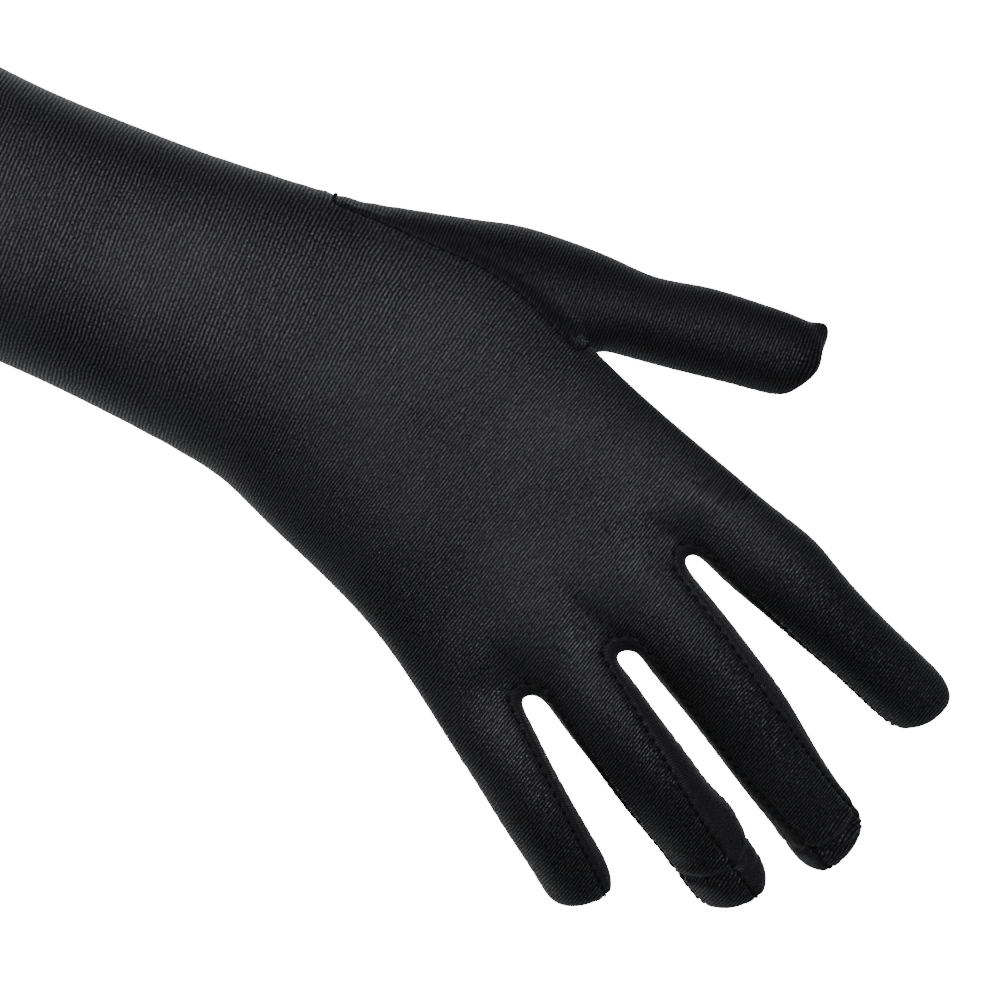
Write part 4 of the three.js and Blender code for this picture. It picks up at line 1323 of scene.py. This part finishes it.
class OPERAGLOVE_OT_sleeve(GloveOperator, bpy.types.Operator):
    """Sews the long sleeve with the hem turned in at its top"""

    bl_idname = "operaglove.sleeve"
    bl_label = "Sleeve and hem"

    def execute(self, context):
        sew_pieces(lambda cloth, part: part in ("upper", "forearm", "cuff"), "satin")
        return {"FINISHED"}


class OPERAGLOVE_OT_hand(GloveOperator, bpy.types.Operator):
    """Sews the hand, back and palm in one piece round the little finger's side"""

    bl_idname = "operaglove.hand"
    bl_label = "Hand"

    def execute(self, context):
        sew_pieces(lambda cloth, part: (cloth, part) == ("trank", "hand"), "satin")
        return {"FINISHED"}


class OPERAGLOVE_OT_fingers(GloveOperator, bpy.types.Operator):
    """Sews the backs and palms of the four fingers, parted where they bend"""

    bl_idname = "operaglove.fingers"
    bl_label = "Fingers"

    def execute(self, context):
        names = tuple(finger.name for finger in FINGERS)
        sew_pieces(lambda cloth, part: cloth == "trank" and part.startswith(names),
                   "satin")
        return {"FINISHED"}


class OPERAGLOVE_OT_finger_sides(GloveOperator, bpy.types.Operator):
    """Sews the strips between the fingers, with the webs at their roots"""

    bl_idname = "operaglove.finger_sides"
    bl_label = "Strips between fingers"

    def execute(self, context):
        sew_pieces(lambda cloth, part: cloth.startswith("fourchette"),
                   "side satin")
        return {"FINISHED"}


class OPERAGLOVE_OT_thumb(GloveOperator, bpy.types.Operator):
    """Sews the set-in thumb"""

    bl_idname = "operaglove.thumb"
    bl_label = "Thumb"

    def execute(self, context):
        sew_pieces(lambda cloth, part: cloth == "thumb", "thumb satin in painted shade")
        return {"FINISHED"}


class OPERAGLOVE_OT_stitches(GloveOperator, bpy.types.Operator):
    """Lays the thread along every seam and round the hem"""

    bl_idname = "operaglove.stitches"
    bl_label = "Stitches"

    def execute(self, context):
        cloth = glove_cloth()
        sewing = context.scene.opera_glove_stitches
        group = stitch_tree()
        runs = {}
        for part, chain in cloth.seams:
            for run in straight_runs(cloth, chain):
                line = cloth.points[run] + cloth.normals[run] * THREAD_LIFT
                runs.setdefault(part, []).append((line, cloth.normals[run]))
        for part, lines in runs.items():
            piece = grow(seam_line(f"stitches_{part}", lines), f"stitches_{part}", group, {
                "Stitch Pitch": sewing.pitch, "Stitch Length": sewing.length,
                "Thread Thickness": sewing.thickness, "Unevenness": sewing.unevenness,
                "Thread": finish("thread")})
            follow(piece, part)
        return {"FINISHED"}


class OPERAGLOVE_OT_elastic(GloveOperator, bpy.types.Operator):
    """Gives the elastic inside the hem its knitted finish"""

    bl_idname = "operaglove.elastic"
    bl_label = "Elastic"

    def execute(self, context):
        for slot in FRAME["nodes"]["cuff_elastic"].material_slots:
            slot.material = finish("elastic")
        return {"FINISHED"}


class OPERAGLOVE_OT_stage(GloveOperator, bpy.types.Operator):
    """Sets out the floor, the lights and the camera over the back of the hand"""

    bl_idname = "operaglove.stage"
    bl_label = "Stage"

    def execute(self, context):
        stage = context.scene.opera_glove_stage
        centre = Vector((WRIST_X + 53.4, -13.2, 0)) * MM
        lay_floor(stage)
        shine("Overhead", stage.overhead, centre + Vector((0.04, 0.26, 1.0)), centre, 0.42)
        shine("Thumb side", stage.side, centre + Vector((0.1, 0.9, 0.7)), centre, 0.5)
        shine("Little finger side", stage.fill, centre + Vector((-0.2, -0.8, -0.5)), centre, 0.9)
        shine("Under", stage.fill, centre + Vector((-0.2, 0.1, -0.55)), centre, 0.9)
        context.scene.world = pale_surround(stage.floor_glow, stage.surround)
        camera = bpy.data.objects.new("Camera", bpy.data.cameras.new("Camera"))
        camera.location = centre + Vector((0, 0, stage.camera_height))
        camera.rotation_euler = (0, 0, math.radians(23))
        camera.data.sensor_width = 36
        camera.data.lens = 36 * stage.camera_height / stage.view_width
        camera.data.clip_end = 100
        context.scene.collection.objects.link(camera)
        context.scene.camera = camera
        return {"FINISHED"}


def lay_floor(stage):
    """A plain pale floor well below the glove, bright to look at, that doesn't light the cloth."""
    half = 8
    mesh = bpy.data.meshes.new("Floor")
    corners = [(-half, -half, -0.6), (half, -half, -0.6), (half, half, -0.6), (-half, half, -0.6)]
    mesh.from_pydata(corners, [], [(0, 1, 2, 3)])
    material, tree = new_material("Pale floor")
    place = tree.add("ShaderNodeTexCoord").outputs["Object"]
    paper = tree.add("ShaderNodeTexNoise", {"Vector": place, "Scale": 3.0, "Detail": 2.0})
    tint = tree.mix_color(tree.math("MULTIPLY", paper.outputs["Fac"], 0.04), stage.floor,
                          (1.0, 1.0, 1.0, 1.0))
    shader = tree.add("ShaderNodeBsdfPrincipled", {
        "Base Color": stage.floor, "Roughness": 0.8, "Emission Color": tint,
        "Emission Strength": stage.floor_glow})
    show(tree, shader)
    mesh.materials.append(material)
    floor = bpy.data.objects.new("Floor", mesh)
    floor.visible_diffuse = False
    floor.visible_glossy = False
    bpy.context.scene.collection.objects.link(floor)


def pale_surround(seen, strength):
    """A pale room that lights the glove with strength and looks as bright as the floor."""
    world = bpy.data.worlds.new("Pale surround")
    world.use_nodes = True
    tree = Tree(world.node_tree)
    world.node_tree.nodes.clear()
    lit = tree.add("ShaderNodeBackground", {"Color": (0.95, 0.97, 1, 1), "Strength": strength})
    shown = tree.add("ShaderNodeBackground", {"Color": (0.95, 0.95, 0.95, 1), "Strength": seen})
    rays = tree.add("ShaderNodeLightPath")
    mixed = tree.add("ShaderNodeMixShader", {
        0: rays.outputs["Is Camera Ray"], 1: lit.outputs[0], 2: shown.outputs[0]})
    tree.put(tree.add("ShaderNodeOutputWorld").inputs["Surface"], mixed.outputs[0])
    return world


def shine(name, power, place, target, size):
    """A square soft light at place, turned to target."""
    light = bpy.data.lights.new(name, "AREA")
    light.energy = power
    light.size = size
    lamp = bpy.data.objects.new(name, light)
    lamp.location = place
    lamp.rotation_euler = (target - place).to_track_quat("-Z", "Y").to_euler()
    lamp.visible_camera = False
    bpy.context.scene.collection.objects.link(lamp)


OPERATORS = (OPERAGLOVE_OT_stage, OPERAGLOVE_OT_sleeve, OPERAGLOVE_OT_hand, OPERAGLOVE_OT_fingers,
             OPERAGLOVE_OT_finger_sides, OPERAGLOVE_OT_thumb, OPERAGLOVE_OT_stitches,
             OPERAGLOVE_OT_elastic)


class OPERAGLOVE_PT_make(bpy.types.Panel):
    """The pieces of the glove and the sizes they are made to"""

    bl_idname = "OPERAGLOVE_PT_make"
    bl_label = "Opera Glove"
    bl_space_type = "VIEW_3D"
    bl_region_type = "UI"
    bl_category = "Opera Glove"

    def draw(self, context):
        for title, name in (("Satin", "opera_glove_satin"), ("Stitches", "opera_glove_stitches"),
                            ("Stage", "opera_glove_stage")):
            box = self.layout.box()
            box.label(text=title)
            group = getattr(context.scene, name)
            for key in group.bl_rna.properties.keys():
                if key not in ("rna_type", "name"):
                    box.prop(group, key)
        for operator in OPERATORS:
            self.layout.operator(operator.bl_idname)


GROUPS = {"opera_glove_satin": OperaGloveSatin, "opera_glove_stitches": OperaGloveStitches,
          "opera_glove_stage": OperaGloveStage}


def register():
    for group in GROUPS.values():
        bpy.utils.register_class(group)
    for name, group in GROUPS.items():
        setattr(bpy.types.Scene, name, bpy.props.PointerProperty(type=group))
    for operator in OPERATORS:
        bpy.utils.register_class(operator)
    bpy.utils.register_class(OPERAGLOVE_PT_make)


def unregister():
    bpy.utils.unregister_class(OPERAGLOVE_PT_make)
    for operator in reversed(OPERATORS):
        bpy.utils.unregister_class(operator)
    for name in GROUPS:
        delattr(bpy.types.Scene, name)
    for group in GROUPS.values():
        bpy.utils.unregister_class(group)


def main():
    register()
    for operator in OPERATORS:
        family, _, name = operator.bl_idname.partition(".")
        getattr(getattr(bpy.ops, family), name)()


if __name__ == "__main__":
    main()
